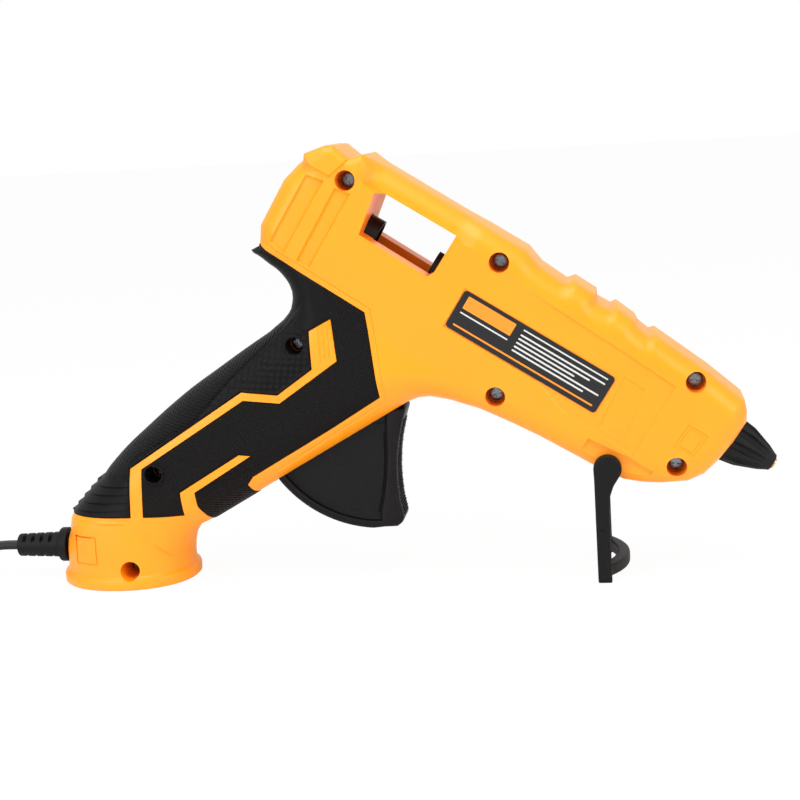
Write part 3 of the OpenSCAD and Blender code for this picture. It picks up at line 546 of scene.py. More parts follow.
def relief(outline, height, low, lines, keep=None, spacing=1.7, rings=(0.15, 0.5, 1, 1.8, 2.8, 4, 5.5, 7.5), fine=None):
    """A closed solid over an outline, between low(p) and height(p). Lines are kept as edges, rings are rows of points
    at distances inside the outline, and fine is a patch (centre, reach, pitch) with more points."""
    border = walked(outline, EDGE_PITCH)
    if area_of(border) < 0:
        border.reverse()
    points, edges = [], []
    for line, closed in [(border, True)] + [(walked(line, EDGE_PITCH, closed), closed) for line, closed in lines]:
        first, last = len(points), len(points) + len(line) - 1
        points += line
        edges += [(k, k + 1) for k in range(first, last)] + ([(last, first)] if closed else [])
    n = len(border)
    normals = [Vector((a[1] - b[1], b[0] - a[0])).normalized() for a, b in
               ((border[k - 1], border[(k + 1) % n]) for k in range(n))]
    free = np.array([(b[0] + m.x * ring, b[1] + m.y * ring, ring) for ring in rings for b, m in zip(border, normals)])
    free = free[depth_inside(free[:, :2], border) > 0.9 * free[:, 2]][:, :2]
    taken = {(round(a / spacing), round(b / spacing)) for a, b in list(map(tuple, free)) + points}
    columns, rows = [range(int(min(c) / spacing) - 1, int(max(c) / spacing) + 2) for c in zip(*border)]
    grid = [(x * spacing, z * spacing) for x in columns for z in rows if (x, z) not in taken]
    if fine:
        centre, reach, pitch = fine
        cells = range(-int(reach / pitch), int(reach / pitch))
        grid += [(centre[0] + x * pitch, centre[1] + z * pitch) for x in cells for z in cells]
    grid = np.array(grid)
    grid = grid[depth_inside(grid, border) > 0.3]
    every = [Vector(q) for q in points + list(free) + list(grid)]
    flat, _, triangles, *_ = delaunay_2d_cdt(every, edges, [], 0, 1e-4)
    p = np.array([(v.x, v.y) for v in flat])
    triangles = np.array(triangles)
    middle = p[triangles].mean(axis=1)
    kept = depth_inside(middle, border) > 0
    if keep:
        kept &= keep(middle)
    used, triangles = np.unique(triangles[kept], return_inverse=True)
    triangles = triangles.reshape(-1, 3)
    p = p[used]
    count = len(p)
    verts = [(x, -h, z) for level in (height(p), low(p)) for (x, z), h in zip(p, level)]
    faces = [tuple(t) for t in triangles] + [tuple(count + k for k in reversed(t)) for t in triangles]
    borders = {}
    for t in triangles:
        for a, b in ((t[0], t[1]), (t[1], t[2]), (t[2], t[0])):
            if borders.pop((b, a), None) is None:
                borders[(a, b)] = True
    return verts, faces + [(b, a, count + a, count + b) for a, b in borders]


def on_side(name, verts, faces, side):
    """A mesh that is drawn for the right side, or its mirror image for the left."""
    if side > 0:
        verts, faces = [(x, -y, z) for x, y, z in verts], [tuple(reversed(f)) for f in faces]
    return build(name, verts, faces)


def moved(points, by):
    return [(x + by[0], z + by[1]) for x, z in points]


def box(x0, z0, x1, z1):
    return [(x0, z0), (x1, z0), (x1, z1), (x0, z1)]


def disc(centre, radius, count=48):
    return arc_points(centre, radius, 0, 360, count + 1)[:-1]


def prism(name, points, y0=-40, y1=40):
    """An outline in x and z drawn out between two y values, which lie beyond both sides of the gun if not given."""
    y0, y1 = sorted((y0, y1))
    points = points if area_of(points) > 0 else points[::-1]
    n = len(points)
    faces = [tuple(range(n)), tuple(range(2 * n - 1, n - 1, -1))]
    faces += [((k + 1) % n, k, n + k, n + (k + 1) % n) for k in range(n)]
    return build(name, [(x, y, z) for y in (y0, y1) for x, z in points], faces)


def on_feed(a, u, v):
    """A place a along the glue path, u across it and v above its middle."""
    x, z = in_feed([(a, v)])[0]
    return x, u, z


def crosswise(x, z, side=1):
    """The same for an axis that runs across the gun."""
    return lambda a, u, v: (x + u, a * side, z + v)


def lengthwise(x=0, y=0, z=0, way=1):
    """The same for an axis along X."""
    return lambda a, u, v: (x + way * a, y + u, z + v)


def turned(name, profile, count=64, place=on_feed, ring=False):
    """A rod, or with ring a ring, turned from (distance along its axis, radius) points."""
    if not ring:
        profile = list(dict.fromkeys([(profile[0][0], 0)] + profile + [(profile[-1][0], 0)]))
    verts, faces, rows = [], [], []
    for a, r in profile:
        around = [2 * math.pi * k / count for k in range(count)] if r else [0]
        rows.append(range(len(verts), len(verts) + len(around)))
        verts += [place(a, r * math.cos(q), r * math.sin(q)) for q in around]
    for i in range(len(rows) if ring else len(rows) - 1):
        low, high = rows[i], rows[(i + 1) % len(rows)]
        for k in range(count):
            m = (k + 1) % count
            quad = (low[k % len(low)], low[m % len(low)], high[m % len(high)], high[k % len(high)])
            faces.append(tuple(dict.fromkeys(quad)))
    return outwards(build(name, verts, faces))


def baked(made):
    """Makes a piece's modifiers part of its mesh."""
    graph = bpy.context.evaluated_depsgraph_get()
    made.data = bpy.data.meshes.new_from_object(made.evaluated_get(graph))
    made.modifiers.clear()
    return made


def combine(target, tools, operation="DIFFERENCE"):
    """Cuts tools out of a target, or adds them, and takes the tools away."""
    for tool in tools:
        step = target.modifiers.new("cut", "BOOLEAN")
        step.operation, step.solver, step.object = operation, "MANIFOLD", tool
    baked(target)
    for tool in tools:
        bpy.data.objects.remove(tool)
    return target


SCREWS_BARREL = in_barrel([(-0.3, 11.6), (59.1, 14.1), (137.3, 12.9), (147.2, -15.4), (81.5, -26.6)])
SCREWS_LOW = [(71.3, 87.1), (16.9, 42.6), (5.1, 7)]
PIVOT = (96.666, 63.174)
STAND_PIVOT = (178.096, 40.602)
WINDOW = [(10.5, 13.1), (13.6, 14.4), (42, 14.4), (41.7, -0.4), (40.4, -2.5), (12.9, -2)]
BOSS_R, COUNTERBORE_R, SHANK_HOLE_R, BORE_R = 5.1, 3.5, 1.55, 7.1
TRIGGER_ROOM_R = 46.6
FOOT_LENGTH, FOOT_WIDTH, FOOT_ROUND = 23.75, 20.5, 2 / 2.1
# Levels of the foot: height, growth, and how far its rear comes in and its front goes out.
FOOT_LEVELS = [(0, 1.1, 0, 0), (0.5, 1.7, 0, 0), (3.1, 1.8, 0, 0), (3.9, 1.5, 0, 0), (4.4, 0.8, 0, 0), (4.9, 0.3, 0, 0),
               (6.5, 0.1, 0, 0), (9, 0, 0, 0.2), (12, 0, 0.1, 0.6), (16, 0, 0.7, 1.6), (20, -0.3, 1.9, 3.4),
               (23.9, -0.7, 2.6, 4.6), (24.1, -1.0, 2.6, 4.6), (24.6, -1.0, 2.7, 4.7), (24.8, -0.7, 2.7, 4.7),
               (25.6, -1.1, 2.9, 5.0), (26.4, -2, 3.1, 5.2)]


def foot_solid(name, inset, lowest, highest, side):
    """Half of the flared oval foot, inset mm inside its skin."""
    half_turn = [math.pi * k / 40 for k in range(41)]
    rows = []
    for z, grow, rear, front in [level for level in FOOT_LEVELS if lowest <= level[0] <= highest]:
        row = []
        for c, s in [(math.cos(a), math.sin(a)) for a in half_turn]:
            x = (FOOT_LENGTH + grow - inset) * (1 if c > 0 else -1) * abs(c) ** FOOT_ROUND
            x += (front if x > 0 else rear) * abs(c) ** 1.2
            row.append((x, side * max(PARTING, (FOOT_WIDTH + grow - inset) * abs(s) ** FOOT_ROUND), z))
        rows.append(row)
    return lofted(name, rows)


def beside(lines, moves, closed=True):
    """Each line, shifted by each distance, and whether it's closed."""
    return [(shifted(line, move, closed), closed) for line in lines for move in moves]


feature_lines = [(in_barrel(line), True) for outline, _, slope in SUNKEN + [(NOSE_PANEL, 0, 0.5)]
                 for line, _ in beside([outline], (0, slope))]
feature_lines += beside(FINE_GROOVES + TAB_RIBS, (-GROOVE, 0, GROOVE), False)
feature_lines += beside([ZIGZAG, HOOK], (0, -GRIP_GAP)) + beside([GRIP_PANEL], (0, GRIP_GAP))
feature_lines += [(in_barrel([(2, above), (52, above)]), False) for above in (LEDGE, LEDGE + LEDGE_SLOPE)]

# Where the grip covers the edge of the casing, the casing's own outline lies under it.
covered = set(THROAT + BACK_STRAP[:-1] + FRONT_STRAP)
under_grip = [b if a in covered else a for a, b in zip(OUTLINE, shifted(OUTLINE, GRIP_DEPTH + 0.05))]
casing = relief(under_grip, casing_height, lambda p: np.full(len(p), PARTING), feature_lines)


def cavity_wall(p):
    return 2.2 + 1.4 * handle_share(p)


def cavity_height(p):
    extra = cavity_wall(p) - 2.2
    return rounded(p, depth_inside(p, OUTLINE) - extra, 2.2) - extra


cavity = relief(OUTLINE, cavity_height, lambda p: np.full(len(p), -3.0), (), spacing=2.6, rings=(2.5, 3.7, 5, 7, 9),
                keep=lambda p: depth_inside(p, OUTLINE) > cavity_wall(p) + 0.2)

# ABS: satin, with a faint orange peel and slow drift of shade.
abs_plastic = finish_of("moulded_abs_orange_yellow", "#FF980C", 0.38, ("#FF9B10", "#FC9409", 26.0, 0.33, 0.42),
                        (1.6, 0.012, 0.35), (0.3, 0.008, 0.35), ior=1.53, specular=0.35)
shader = abs_plastic.node_tree.nodes["Principled BSDF"]
shader.inputs["Subsurface Weight"].default_value = 0.06
shader.inputs["Subsurface Radius"].default_value = (0.004, 0.002, 0.0006)


def casing_half(name, side, replaced):
    """A half with its cavity, screw bosses, window, glue channel and the rooms of what moves in it."""
    body, hollow = on_side(name, *casing, side), on_side("hollow", *cavity, side)
    screws = SCREWS_BARREL + SCREWS_LOW
    combine(hollow, [prism("boss", disc(p, BOSS_R)) for p in screws] + [
        prism("window_frame", in_barrel([(8.3, -4.6), (44.2, -4.6), (44.2, 11), (52, 11), (52, 30), (1, 30), (1, 11),
                                         (8.3, 11)])),
        prism("channel_wall", in_feed(box(-17, -14, 43, 0)), -11, 11),
        prism("dip_floor", in_barrel([(64, 16), (118, 15), (118, 26), (64, 26)])),
        prism("tail_top", in_barrel([(-26, 8), (0, 15), (0, 26), (-26, 26)])),
        prism("stand_pad", in_barrel(box(113, -40, 142, -19)), 14.2 * side, 40 * side),
        prism("stand_boss", disc(STAND_PIVOT, 3.6), 11.8 * side, 40 * side),
        prism("pivot_boss", disc(PIVOT, 4.6), 8.3 * side, 40 * side)])
    combine(body, [foot_solid("foot", 0, 0, 30, side)], "UNION")
    swing = arc_points(PIVOT, TRIGGER_ROOM_R, -math.degrees(math.asin(44.86 / TRIGGER_ROOM_R)),
                       -180 - math.degrees(math.asin(8 / TRIGGER_ROOM_R)), 41)
    foot_room = combine(foot_solid("foot_room", 2.2, 2, 24, side), [prism("boss", disc(SCREWS_LOW[2], BOSS_R))])
    frame_cut = combine(prism("frame", box(-16.1, 9.2, -6.8, 19.8)), [
        prism("frame_middle", box(-15.5, 9.8, -7.4, 19.2), -41, 41)] + [
        foot_solid("frame_floor", 0.28, 4, 26, way) for way in (side, -side)])
    cuts = [hollow, foot_room,
            prism("window", in_barrel(WINDOW)),
            prism("channel", in_feed(box(-16.5, -12.6, 43.2, 0.5)), -9, 9),
            prism("room", [(PIVOT[0] + 12.6, PIVOT[1] + 8)] + swing, -8.1, 8.1),
            prism("pin_hole", disc(PIVOT, 2.1), -12.7, 12.7),
            prism("fork_room", in_feed(box(48.5, -47, 66, -25)), -7, 7),
            turned("stick_bore", [(-25, BORE_R), (-15.1, BORE_R), (-15.1, 8.5), (-12.9, 8.5), (-12.9, BORE_R),
                                  (50, BORE_R)]),
            turned("nozzle_hole", [(150, 8.8), (180, 8.8)]),
            prism("stand_bed", in_barrel([(115.5, -45), (141, -45), (141, -21), (131.8, -20.8), (116.2, -22.4)]),
                  16.4 * side, 40 * side),
            prism("peg_hole", disc(STAND_PIVOT, 1.85), 12.8 * side, 40 * side),
            frame_cut]
    if side < 0:
        cuts += [prism("counterbore", disc(p, COUNTERBORE_R), -40, -8) for p in screws]
        cuts += [prism("shank_hole", disc(p, SHANK_HOLE_R, 24), -9, 1) for p in screws]
        cuts.append(prism("label_bed", in_barrel(box(53.6, -14.3, 113.9, 0.8)), -40, -17.4))
    combine(body, cuts)
    finished(body, abs_plastic, "housing", "casing_plastic", replaced, angle=32)


casing_half("shell_right", -1, "casing_right")
casing_half("shell_left", 1, "casing_left")

# ---- Soft grips ----
# Black thermoplastic rubber, moulded into the casing's bed and 0.3 mm proud of it, with round edges. The main
# panel has a fine square grain, the straps a diamond knurl, the patch under the upper screw cut facets, and
# the lower rear five overlapping ribs.

RIB_TOP, RIB_PITCH, RIB_SLOPE = (-5.9, 40.2), 2.8, 0.06
FACETS = [(34, 61.6), (50.9, 71.9), (64.1, 70.6), (76.6, 79.1), (76.3, 90.4), (71, 96.5), (60, 86.2), (47.6, 75.6)]
STRAP_EDGE = [(-30, 41.3), (7.8, 46.4), (34, 62.2), (47.6, 76.2), (60, 86.8), (76, 103.5), (40, 116), (-30, 70)]


def grip_outline():
    """The outline with the straps moved out to the grip's face, and steps where the ribs end."""
    made, ribbed = [], False
    for a, b in zip(OUTLINE, shifted(OUTLINE, -0.3)):
        ribbed = ribbed and a != BACK_STRAP[-1]
        if not ribbed:
            made.append(b if a in covered else a)
        if a == RIB_TOP:
            ribbed = True
            for k in range(1, 6):
                x, z = a[0] - 2.75 * k, a[1] - 2.84 * k
                made += [(x - 0.75, z + 0.95), (x + 0.1, z + 0.2)]
    return made


def ribs_share(p):
    """Where in its rib each point lies, from 0 at the top to 1 at the bottom, or -1 above the ribs."""
    down = (RIB_TOP[1] + RIB_SLOPE * (p[:, 0] - RIB_TOP[0]) - p[:, 1]) / RIB_PITCH
    return np.where((p[:, 0] < 7) & (down > 0), down - np.floor(down), -1)


def grip_height(p):
    deep = depth_inside(p, OUTLINE)
    share = grip_share(p) - GRIP_GAP
    height = rounded(p, deep, -0.3) - 0.5 * (1 - np.clip(share / 0.75, 0, 1)) ** 2
    rib = ribs_share(p)
    height += np.where(rib >= 0, 0.75 * rib - 0.45, 0) * np.clip(share / 0.6, 0, 1)
    c, s = math.cos(math.radians(38)), math.sin(math.radians(38))
    u, v = (p[:, 0] * c + p[:, 1] * s) / 3.3, (p[:, 1] * c - p[:, 0] * s) / 2.9
    a, b = np.abs((u + v) % 1 - 0.5), np.abs((u - v) % 1 - 0.5)
    patch = np.clip(depth_inside(p, FACETS) / 1.2, 0, 1)
    height -= 0.25 * np.clip(depth_inside(p, FACETS) / 0.5, 0, 1) - 0.85 * (a + b - 0.5) * patch
    for line in ARCS:
        height -= 0.16 * np.clip(1 - away_from(p, line) / 0.5, 0, 1)
    height -= 0.35 * np.clip(1 - away_from(p, STRAP_EDGE[1:6]) / 0.6, 0, 1) * np.clip(share / 1.2, 0, 1)
    return np.maximum(height, 0.3)


def grip_back(p):
    deep = depth_inside(p, OUTLINE)
    return np.where(deep < GRIP_DEPTH + 0.02, PARTING, rounded(p, deep, GRIP_DEPTH) + 0.03)


# Fine arcs on the web behind the barrel, which run with the throat.
ARCS = [[(59.9 + r * math.cos(math.radians(a)), 104.8 + r * math.sin(math.radians(a))) for a in range(-58, 71, 8)]
        for r in (12.4, 14.2, 16.0)]
edges = [GRIP_GAP + k for k in (0, 0.2, 0.75)]
grip_lines = beside([GRIP_PANEL], edges) + beside([ZIGZAG, HOOK], [-by for by in edges])
grip_lines += [([(x, RIB_TOP[1] - RIB_PITCH * k + RIB_SLOPE * (x + 6.7) + d) for x in (-24, 7)], False)
               for k in range(1, 6) for d in (0.01, -0.1)]
grip_lines += beside([FACETS], (0, 0.5)) + [(STRAP_EDGE[1:6], False)]
grip_lines += beside([FRONT_STRAP, THROAT + BACK_STRAP[:-1]], (1.2, 1.24), False)


def in_grip(p):
    inside = depth_inside(p, shifted(GRIP_PANEL, GRIP_GAP)) > 0
    return inside & (depth_inside(p, shifted(ZIGZAG, -GRIP_GAP)) < 0) & (depth_inside(p, shifted(HOOK, -GRIP_GAP)) < 0)


grip = relief(grip_outline(), grip_height, grip_back, grip_lines, in_grip, 1.2,
              (0.15, 0.5, 1, 1.8, 2.8, 4, 5.5, 7.5, 9.5), ((58, 80), 21, 0.55))


def rubber(name, pitch=0, angle=0, depth=0):
    """Matt rubber with a fine grain, and rows of small bumps a pitch apart as a knurled mould leaves them."""
    made = finish_of(name, "#090707", 0.46, ("#0B090A", "#060505", 16.0, 0.42, 0.56), (0.4, 0.03, 0.6), ior=1.45,
                     specular=0.14)
    if pitch:
        tree = made.node_tree
        place = tree.nodes["Texture Coordinate"].outputs["Object"]
        place = node(tree, "ShaderNodeMapping", {"Vector": place}, i2=(0, math.radians(angle), 0))
        apart = node(tree, "ShaderNodeSeparateXYZ", {0: place})
        waves = {}
        for i, axis in enumerate("XZ"):
            phase = node(tree, "ShaderNodeMath", {0: apart.outputs[axis]}, operation="MULTIPLY",
                         i1=2 * math.pi / (pitch * MM))
            waves[i] = node(tree, "ShaderNodeMath", {0: phase}, operation="SINE")
        bumped(tree, node(tree, "ShaderNodeMath", waves, operation="ADD"), 1.0, depth)
    return made


grip_finishes = [rubber("grip_rubber_square_grain", 0.72, 33, 0.09), rubber("grip_rubber_diamond_knurl", 1.15, 78, 0.2),
                 rubber("grip_rubber_plain")]
LOWER_FRONT = [(27, 10), (34.9, 20), (31, 30), (31.3, 35.5), (40, 41), (50.4, 46.6), (56, 42), (53, 30)]

# How far out the grip's face lies at its two counterbores, which it lines with a short sleeve.
GRIP_FACES = [float(h) for h in grip_height(np.array(SCREWS_LOW[:2]))]


def soft_grip(name, side, replaced):
    body = on_side(name, *grip, side)
    if side < 0:
        combine(body, [prism("hole", disc(p, 3.2), -40, 0) for p in SCREWS_LOW[:2]])
        for centre, face in zip(SCREWS_LOW[:2], GRIP_FACES):
            lip = [(0.9, 3.42), (0.5, 3.9), (-0.25, 3.9), (-0.45, 3.6), (-0.45, 3.2), (-0.2, 3.0)]
            profile = [(-10.5, 3.0), (-10.5, 3.42)] + [(a - face, r) for a, r in lip]
            combine(body, [turned("lining", profile, 48, crosswise(*centre), ring=True)], "UNION")
    mesh = body.data
    mesh.materials.clear()
    for finish in grip_finishes:
        mesh.materials.append(finish)
    centres = np.array([tuple(f.center) for f in mesh.polygons])[:, [0, 2]] / MM
    ribs = (ribs_share(centres) >= 0) | (depth_inside(centres, FACETS) > 0)
    straps = (depth_inside(centres, STRAP_EDGE) > 0) | (depth_inside(centres, LOWER_FRONT) > 0)
    web = (centres[:, 1] > 93) & (centres[:, 0] < 82)
    mesh.polygons.foreach_set("material_index", np.where(ribs | web, 2, np.where(straps, 1, 0)))
    finished(body, None, "housing", "grip_rubber", replaced, angle=32)


soft_grip("soft_grip_right", -1, "grip_right")
soft_grip("soft_grip_left", 1, "grip_left")

# ---- Repeated details ----
# Screws, flutes, ribs and ridges are one shape each, set out by geometry nodes on a point per place, made
# real and baked.


def repeated(name, one, places, turns=None, material=None, wobble=0.0):
    """One shape, in metres about the origin, at every place (mm), with an Euler turn for each."""
    points = build(name, places, [])
    turns = turns or [(0, 0, 0)] * len(places)
    turn_of = points.data.attributes.new("turn", "FLOAT_VECTOR", "POINT")
    turn_of.data.foreach_set("vector", [a for t in turns for a in t])
    tree = bpy.data.node_groups.new(name, "GeometryNodeTree")
    for way in ("INPUT", "OUTPUT"):
        tree.interface.new_socket("Geometry", in_out=way, socket_type="NodeSocketGeometry")
    turn = node(tree, "GeometryNodeInputNamedAttribute", i0="turn", data_type="FLOAT_VECTOR")
    chance = node(tree, "FunctionNodeRandomValue", data_type="FLOAT", i3=wobble, i8=7)
    about = node(tree, "ShaderNodeCombineXYZ", {"Y": chance.outputs["Value"]})
    both = node(tree, "ShaderNodeVectorMath", {0: turn, 1: about}, operation="ADD")
    piece = node(tree, "GeometryNodeObjectInfo", i0=one)
    spread = node(tree, "GeometryNodeInstanceOnPoints", {
        "Points": node(tree, "NodeGroupInput"), "Instance": piece.outputs["Geometry"], "Rotation": both})
    real = node(tree, "GeometryNodeRealizeInstances", {0: spread})
    node(tree, "NodeGroupOutput", {0: node(tree, "GeometryNodeSetMaterial", {0: real}, i2=material)})
    points.modifiers.new("repeated", "NODES").node_group = tree
    baked(points)
    bpy.data.objects.remove(one)
    bpy.data.node_groups.remove(tree)
    return points


def chamfered(made, width, angle=35, steps=2):
    """Rounds the edges of a piece that are sharper than an angle."""
    step = made.modifiers.new("edges", "BEVEL")
    step.width, step.segments, step.angle_limit, step.use_clamp_overlap = width * MM, steps, math.radians(angle), True
    return baked(made)


def block(name, low, high):
    return prism(name, box(low[0], low[2], high[0], high[2]), low[1], high[1])


def moulded_black(name, grain, depth, roughness):
    """Black nylon, PVC or rubber with a fine spark-eroded grain."""
    return finish_of(name, "#090809", roughness, ("#0D0C0E", "#070608", 12.0, roughness - 0.05, roughness + 0.08),
                     (grain, depth, 0.6), specular=0.16)


# ---- Screws ----
# Eight zinc-plated cross-head screws, each a pan head on a threaded shank, at the bottom of its counterbore.

ridged = [(-8, 1.45)] + [(-7.6 + 0.55 * k, 1.45 if k % 2 else 1.15) for k in range(29)]
screw = turned("screw", [(-10.2, 1.9), (-10, 2.45), (-9.6, 2.7), (-9.1, 2.75), (-8, 2.75)] + ridged
               + [(8.3, 1.4), (8.8, 0.9)], 28, crosswise(0, 0))
cross = block("cross", (-0.5, -12, -1.9), (0.5, -9.0, 1.9))
combine(cross, [block("cross", (-1.9, -12, -0.5), (1.9, -9.0, 0.5)),
                turned("well", [(-12, 1.2), (-9.1, 0.7), (-8.9, 0)], 20, crosswise(0, 0))], "UNION")
combine(screw, [cross])
screws = repeated("case_screws", screw, [(x, 0, z) for x, z in SCREWS_BARREL + SCREWS_LOW], material=zinc, wobble=1.4)
finished(screws, zinc, "housing", "zinc", "casing_screws")

# ---- Label plate ----
# A black film plate, bare but for an orange bar and pale rules, with rounded corners.

label_black = finish_of("polycarbonate_label_film", "#08080A", 0.34, ("#0B0B0D", "#060608", 9.0, 0.26, 0.36),
                        (0.25, 0.004, 0.4), ior=1.58, specular=0.3)
label_orange = finish_of("screen_print_orange", "#F08A1C", 0.42, specular=0.4)
label_pale = finish_of("screen_print_light_grey", "#C9C9C6", 0.45, specular=0.4)


def rounded_box(low, high, radius, count=6):
    corners = ((high[0] - radius, high[1] - radius, 0), (low[0] + radius, high[1] - radius, 90),
               (low[0] + radius, low[1] + radius, 180), (high[0] - radius, low[1] + radius, 270))
    return [q for x, z, a in corners for q in arc_points((x, z), radius, a, a + 90, count)]


plate = prism("blank_label", in_barrel(rounded_box((54, -13.9), (113.5, 0.4), 1.2)), -17.76, -17.42)
for ink in (label_black, label_orange, label_pale):
    plate.data.materials.append(ink)
ORANGE, PALE = 1, 2
marks = [((56.2, -5.6), (75, -0.9), ORANGE), ((56.2, -7.4), (75, -6.9), PALE), ((78, -1.6), (111.4, -1.1), PALE)]
marks += [((78, -3.6 - 1.5 * k), (111.4 - 5.2 * (k % 3), -3.0 - 1.5 * k), PALE) for k in range(5)]
marks += [((56.2, -12.2), (111.4, -11.6), ORANGE)]
joined = bmesh.new()
joined.from_mesh(plate.data)
for low, high, ink in marks:
    mark = prism("mark", in_barrel(rounded_box(low, high, 0.25, 3)), -17.79, -17.6)
    mark.data.polygons.foreach_set("material_index", [ink] * len(mark.data.polygons))
    joined.from_mesh(mark.data)
    bpy.data.objects.remove(mark)
joined.to_mesh(plate.data)
joined.free()
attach(plate, "housing")
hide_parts("label_plate")

# ---- Trigger ----
# A sector in black nylon: a thin web with a rim along its foot, a deep front pad with a fine grain, the marks of
# ejector pins, a hub for its pin, a seat for its spring's leg and a fork that drives the carriage.

trigger_black = moulded_black("glass_filled_nylon_black", 0.5, 0.02, 0.42)
FRONT = [(8.3, -42.8), (7.9, -40.6), (6.9, -35), (6.5, -29), (6.5, -24), (7, -18), (7.9, -12.5), (9.4, -6.5),
         (11.2, -1)]
PAD_BACK = [(3.2, -1), (3, -10), (2.9, -18), (2.2, -26), (1.0, -33), (-0.5, -39.5)]
pad = moved([(-0.7, -45.1), (5.6, -44.9)] + FRONT + PAD_BACK, PIVOT)
web = moved(arc_points((0, 0), 45.4, 205, 277, 40)[:34]
            + [(2, -44.8), (3.6, -40), (3.6, -33), (4.4, -26), (5, -18), (5.6, -10), (7, 0), (4, 5)]
            + arc_points((0, 0), 6, 90, 205, 14), PIVOT)
inner = moved(arc_points((0, 0), 42.6, 203, 266, 30) + [(9, -42.4), (12, 12), (-60, 12), (-60, -20)], PIVOT)
trigger_piece = chamfered(prism("trigger_sector", web, -7.6, 7.6), 1.1, 40, 3)
pockets = [chamfered(prism("pocket", inner, a, b), 0.4) for a, b in ((-12, -5.4), (5.4, 12))]
line = moved(arc_points((0, 0), 43.9, 206, 269, 30) + arc_points((0, 0), 43.6, 269, 206, 30), PIVOT)
pockets += [prism("line", line, a, b) for a, b in ((-9, -7.45), (7.45, 9))]
pockets += [turned("mark", [(-5.6, 2.3), (-5.6, 2.05), (-5.28, 2.05), (-5.28, 2.3)], 32, crosswise(x, z), ring=True)
            for x, z in moved(((-36, -14.5), (-9.6, -36.5), (-14, -20)), PIVOT)]
seam = moved(PAD_BACK[1:] + [(x - 0.8, z) for x, z in PAD_BACK[:0:-1]], PIVOT)
pockets += [prism("seam", seam, a, b) for a, b in ((-9, -4.6), (4.6, 9))]
combine(trigger_piece, pockets)
combine(trigger_piece, [chamfered(prism("pad", pad, -7.7, 7.7), 1.7, 40, 4)], "UNION")
dot = turned("dot", [(-0.35, 0.26), (0.35, 0.26)], 6, lengthwise())
dot_places = [(x + 0.12, -5.2 + 1.3 * j + 0.65 * (k % 2), z)
              for k, (x, z) in enumerate(moved(walked(FRONT[1:8], 1.25, False), PIVOT)) for j in range(8)]
combine(trigger_piece, [repeated("dots", dot, dot_places)], "UNION")
DRIVE_S, DRIVE_T = -6.0, 24.06
fork = moved(tilted([(-5, 2), (5, 2), (DRIVE_S + 4.4, DRIVE_T + 1), (DRIVE_S + 3, DRIVE_T + 4),
                     (DRIVE_S - 3.5, DRIVE_T + 4), (DRIVE_S - 4.6, DRIVE_T + 1)], FEED[0], 0), PIVOT)
hub = turned("hub", [(-6.8, 6.6), (-6.4, 7), (6.4, 7), (6.8, 6.6)], 48, crosswise(*PIVOT))
combine(trigger_piece, [prism("fork", fork, a, b) for a, b in ((-6.3, -3.4), (3.4, 6.3))] + [hub], "UNION")
slot = arc_points((0, 25.46), 2.2, 0, 180, 12) + arc_points((0, 23.26), 2.2, 180, 360, 12)
combine(trigger_piece, [
    prism("slot", moved(tilted(slot, FEED[0] - math.radians(14), 0), PIVOT), -9, 9),
    turned("bore", [(-20, 2.05), (5, 2.05), (5, 5.6), (20, 5.6)], 40, crosswise(*PIVOT)),
    prism("spring_slot", moved(box(-4.3, -9, -2.5, 9), PIVOT), 5.4, 9)])
seat = chamfered(prism("spring_seat", moved(box(-5.6, -16.8, -1.2, -9.3), PIVOT), 4.8, 7.0), 0.4)
combine(seat, [prism("leg_room", moved(box(-3.9, -15.4, -2.9, -8), PIVOT), 5.4, 6.4)])
combine(trigger_piece, [seat], "UNION")
finished(trigger_piece, trigger_black, "trigger", "dark_plastic", "trigger")

# ---- Trigger spring ----
# A torsion spring of drawn wire beside the trigger's hub. Its lower leg sits in the trigger and turns with it, its
# upper leg rests in the casing, and the coil between them winds up.

COIL_R, WIRE_R, LOWER_Y, UPPER_Y = 3.4, 0.35, 5.9, 7.7
coil = [(-COIL_R * math.cos(a), COIL_R * math.sin(a), LOWER_Y + (UPPER_Y - LOWER_Y) * a / (4 * math.pi))
        for a in (math.pi / 12 * k for k in range(49))]
wire = [(-COIL_R, z, LOWER_Y) for z in (-15, -12, -8, -3)] + coil + [(-COIL_R, z, UPPER_Y) for z in (3, 6, 13)]
spring_piece = tube("torsion_spring", [Vector(p) for p in wire], disc((0, 0), WIRE_R, 10))
upright = Matrix(((1, 0, 0, PIVOT[0] * MM), (0, 0, 1, 0), (0, 1, 0, PIVOT[1] * MM), (0, 0, 0, 1)))
spring_piece.data.transform(upright)
finished(outwards(spring_piece), steel, None, "steel", "trigger_spring", angle=40)
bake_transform(spring_piece)

# ---- Stand ----
# One black moulding: two legs with round heads that flare into them, a bowed crossbar and the pegs it hinges on.

stand_black = moulded_black("polyamide_black_satin", 0.45, 0.015, 0.45)
x0, x1 = 173.4, 178.4
leg = arc_points(STAND_PIVOT, 4.85, -38, 182, 34) + [
    (x0, STAND_PIVOT[1] - 4), (x0 + 0.35, 0.02), (x1 + 0.2, 0.02), (x1 + 0.05, 14), (x1, 27), (x1 + 0.35, 31),
    (x1 + 1.6, 34.6)]
legs = []
for side in (-1, 1):
    legs.append(chamfered(prism("folding_stand", leg, 16.72 * side, 20.08 * side), 0.55, 30, 3))
    peg = turned("peg", [(13.2, 1.4), (13.6, 1.8), (18, 1.8)], 32, crosswise(*STAND_PIVOT, side))
    combine(legs[-1], [peg], "UNION")
    combine(legs[-1], [turned("mark", [(19.8, 0.55), (21, 0.55)], 24, crosswise((x0 + x1) / 2, 19.2, side))])
combine(legs[0], legs[1:], "UNION")


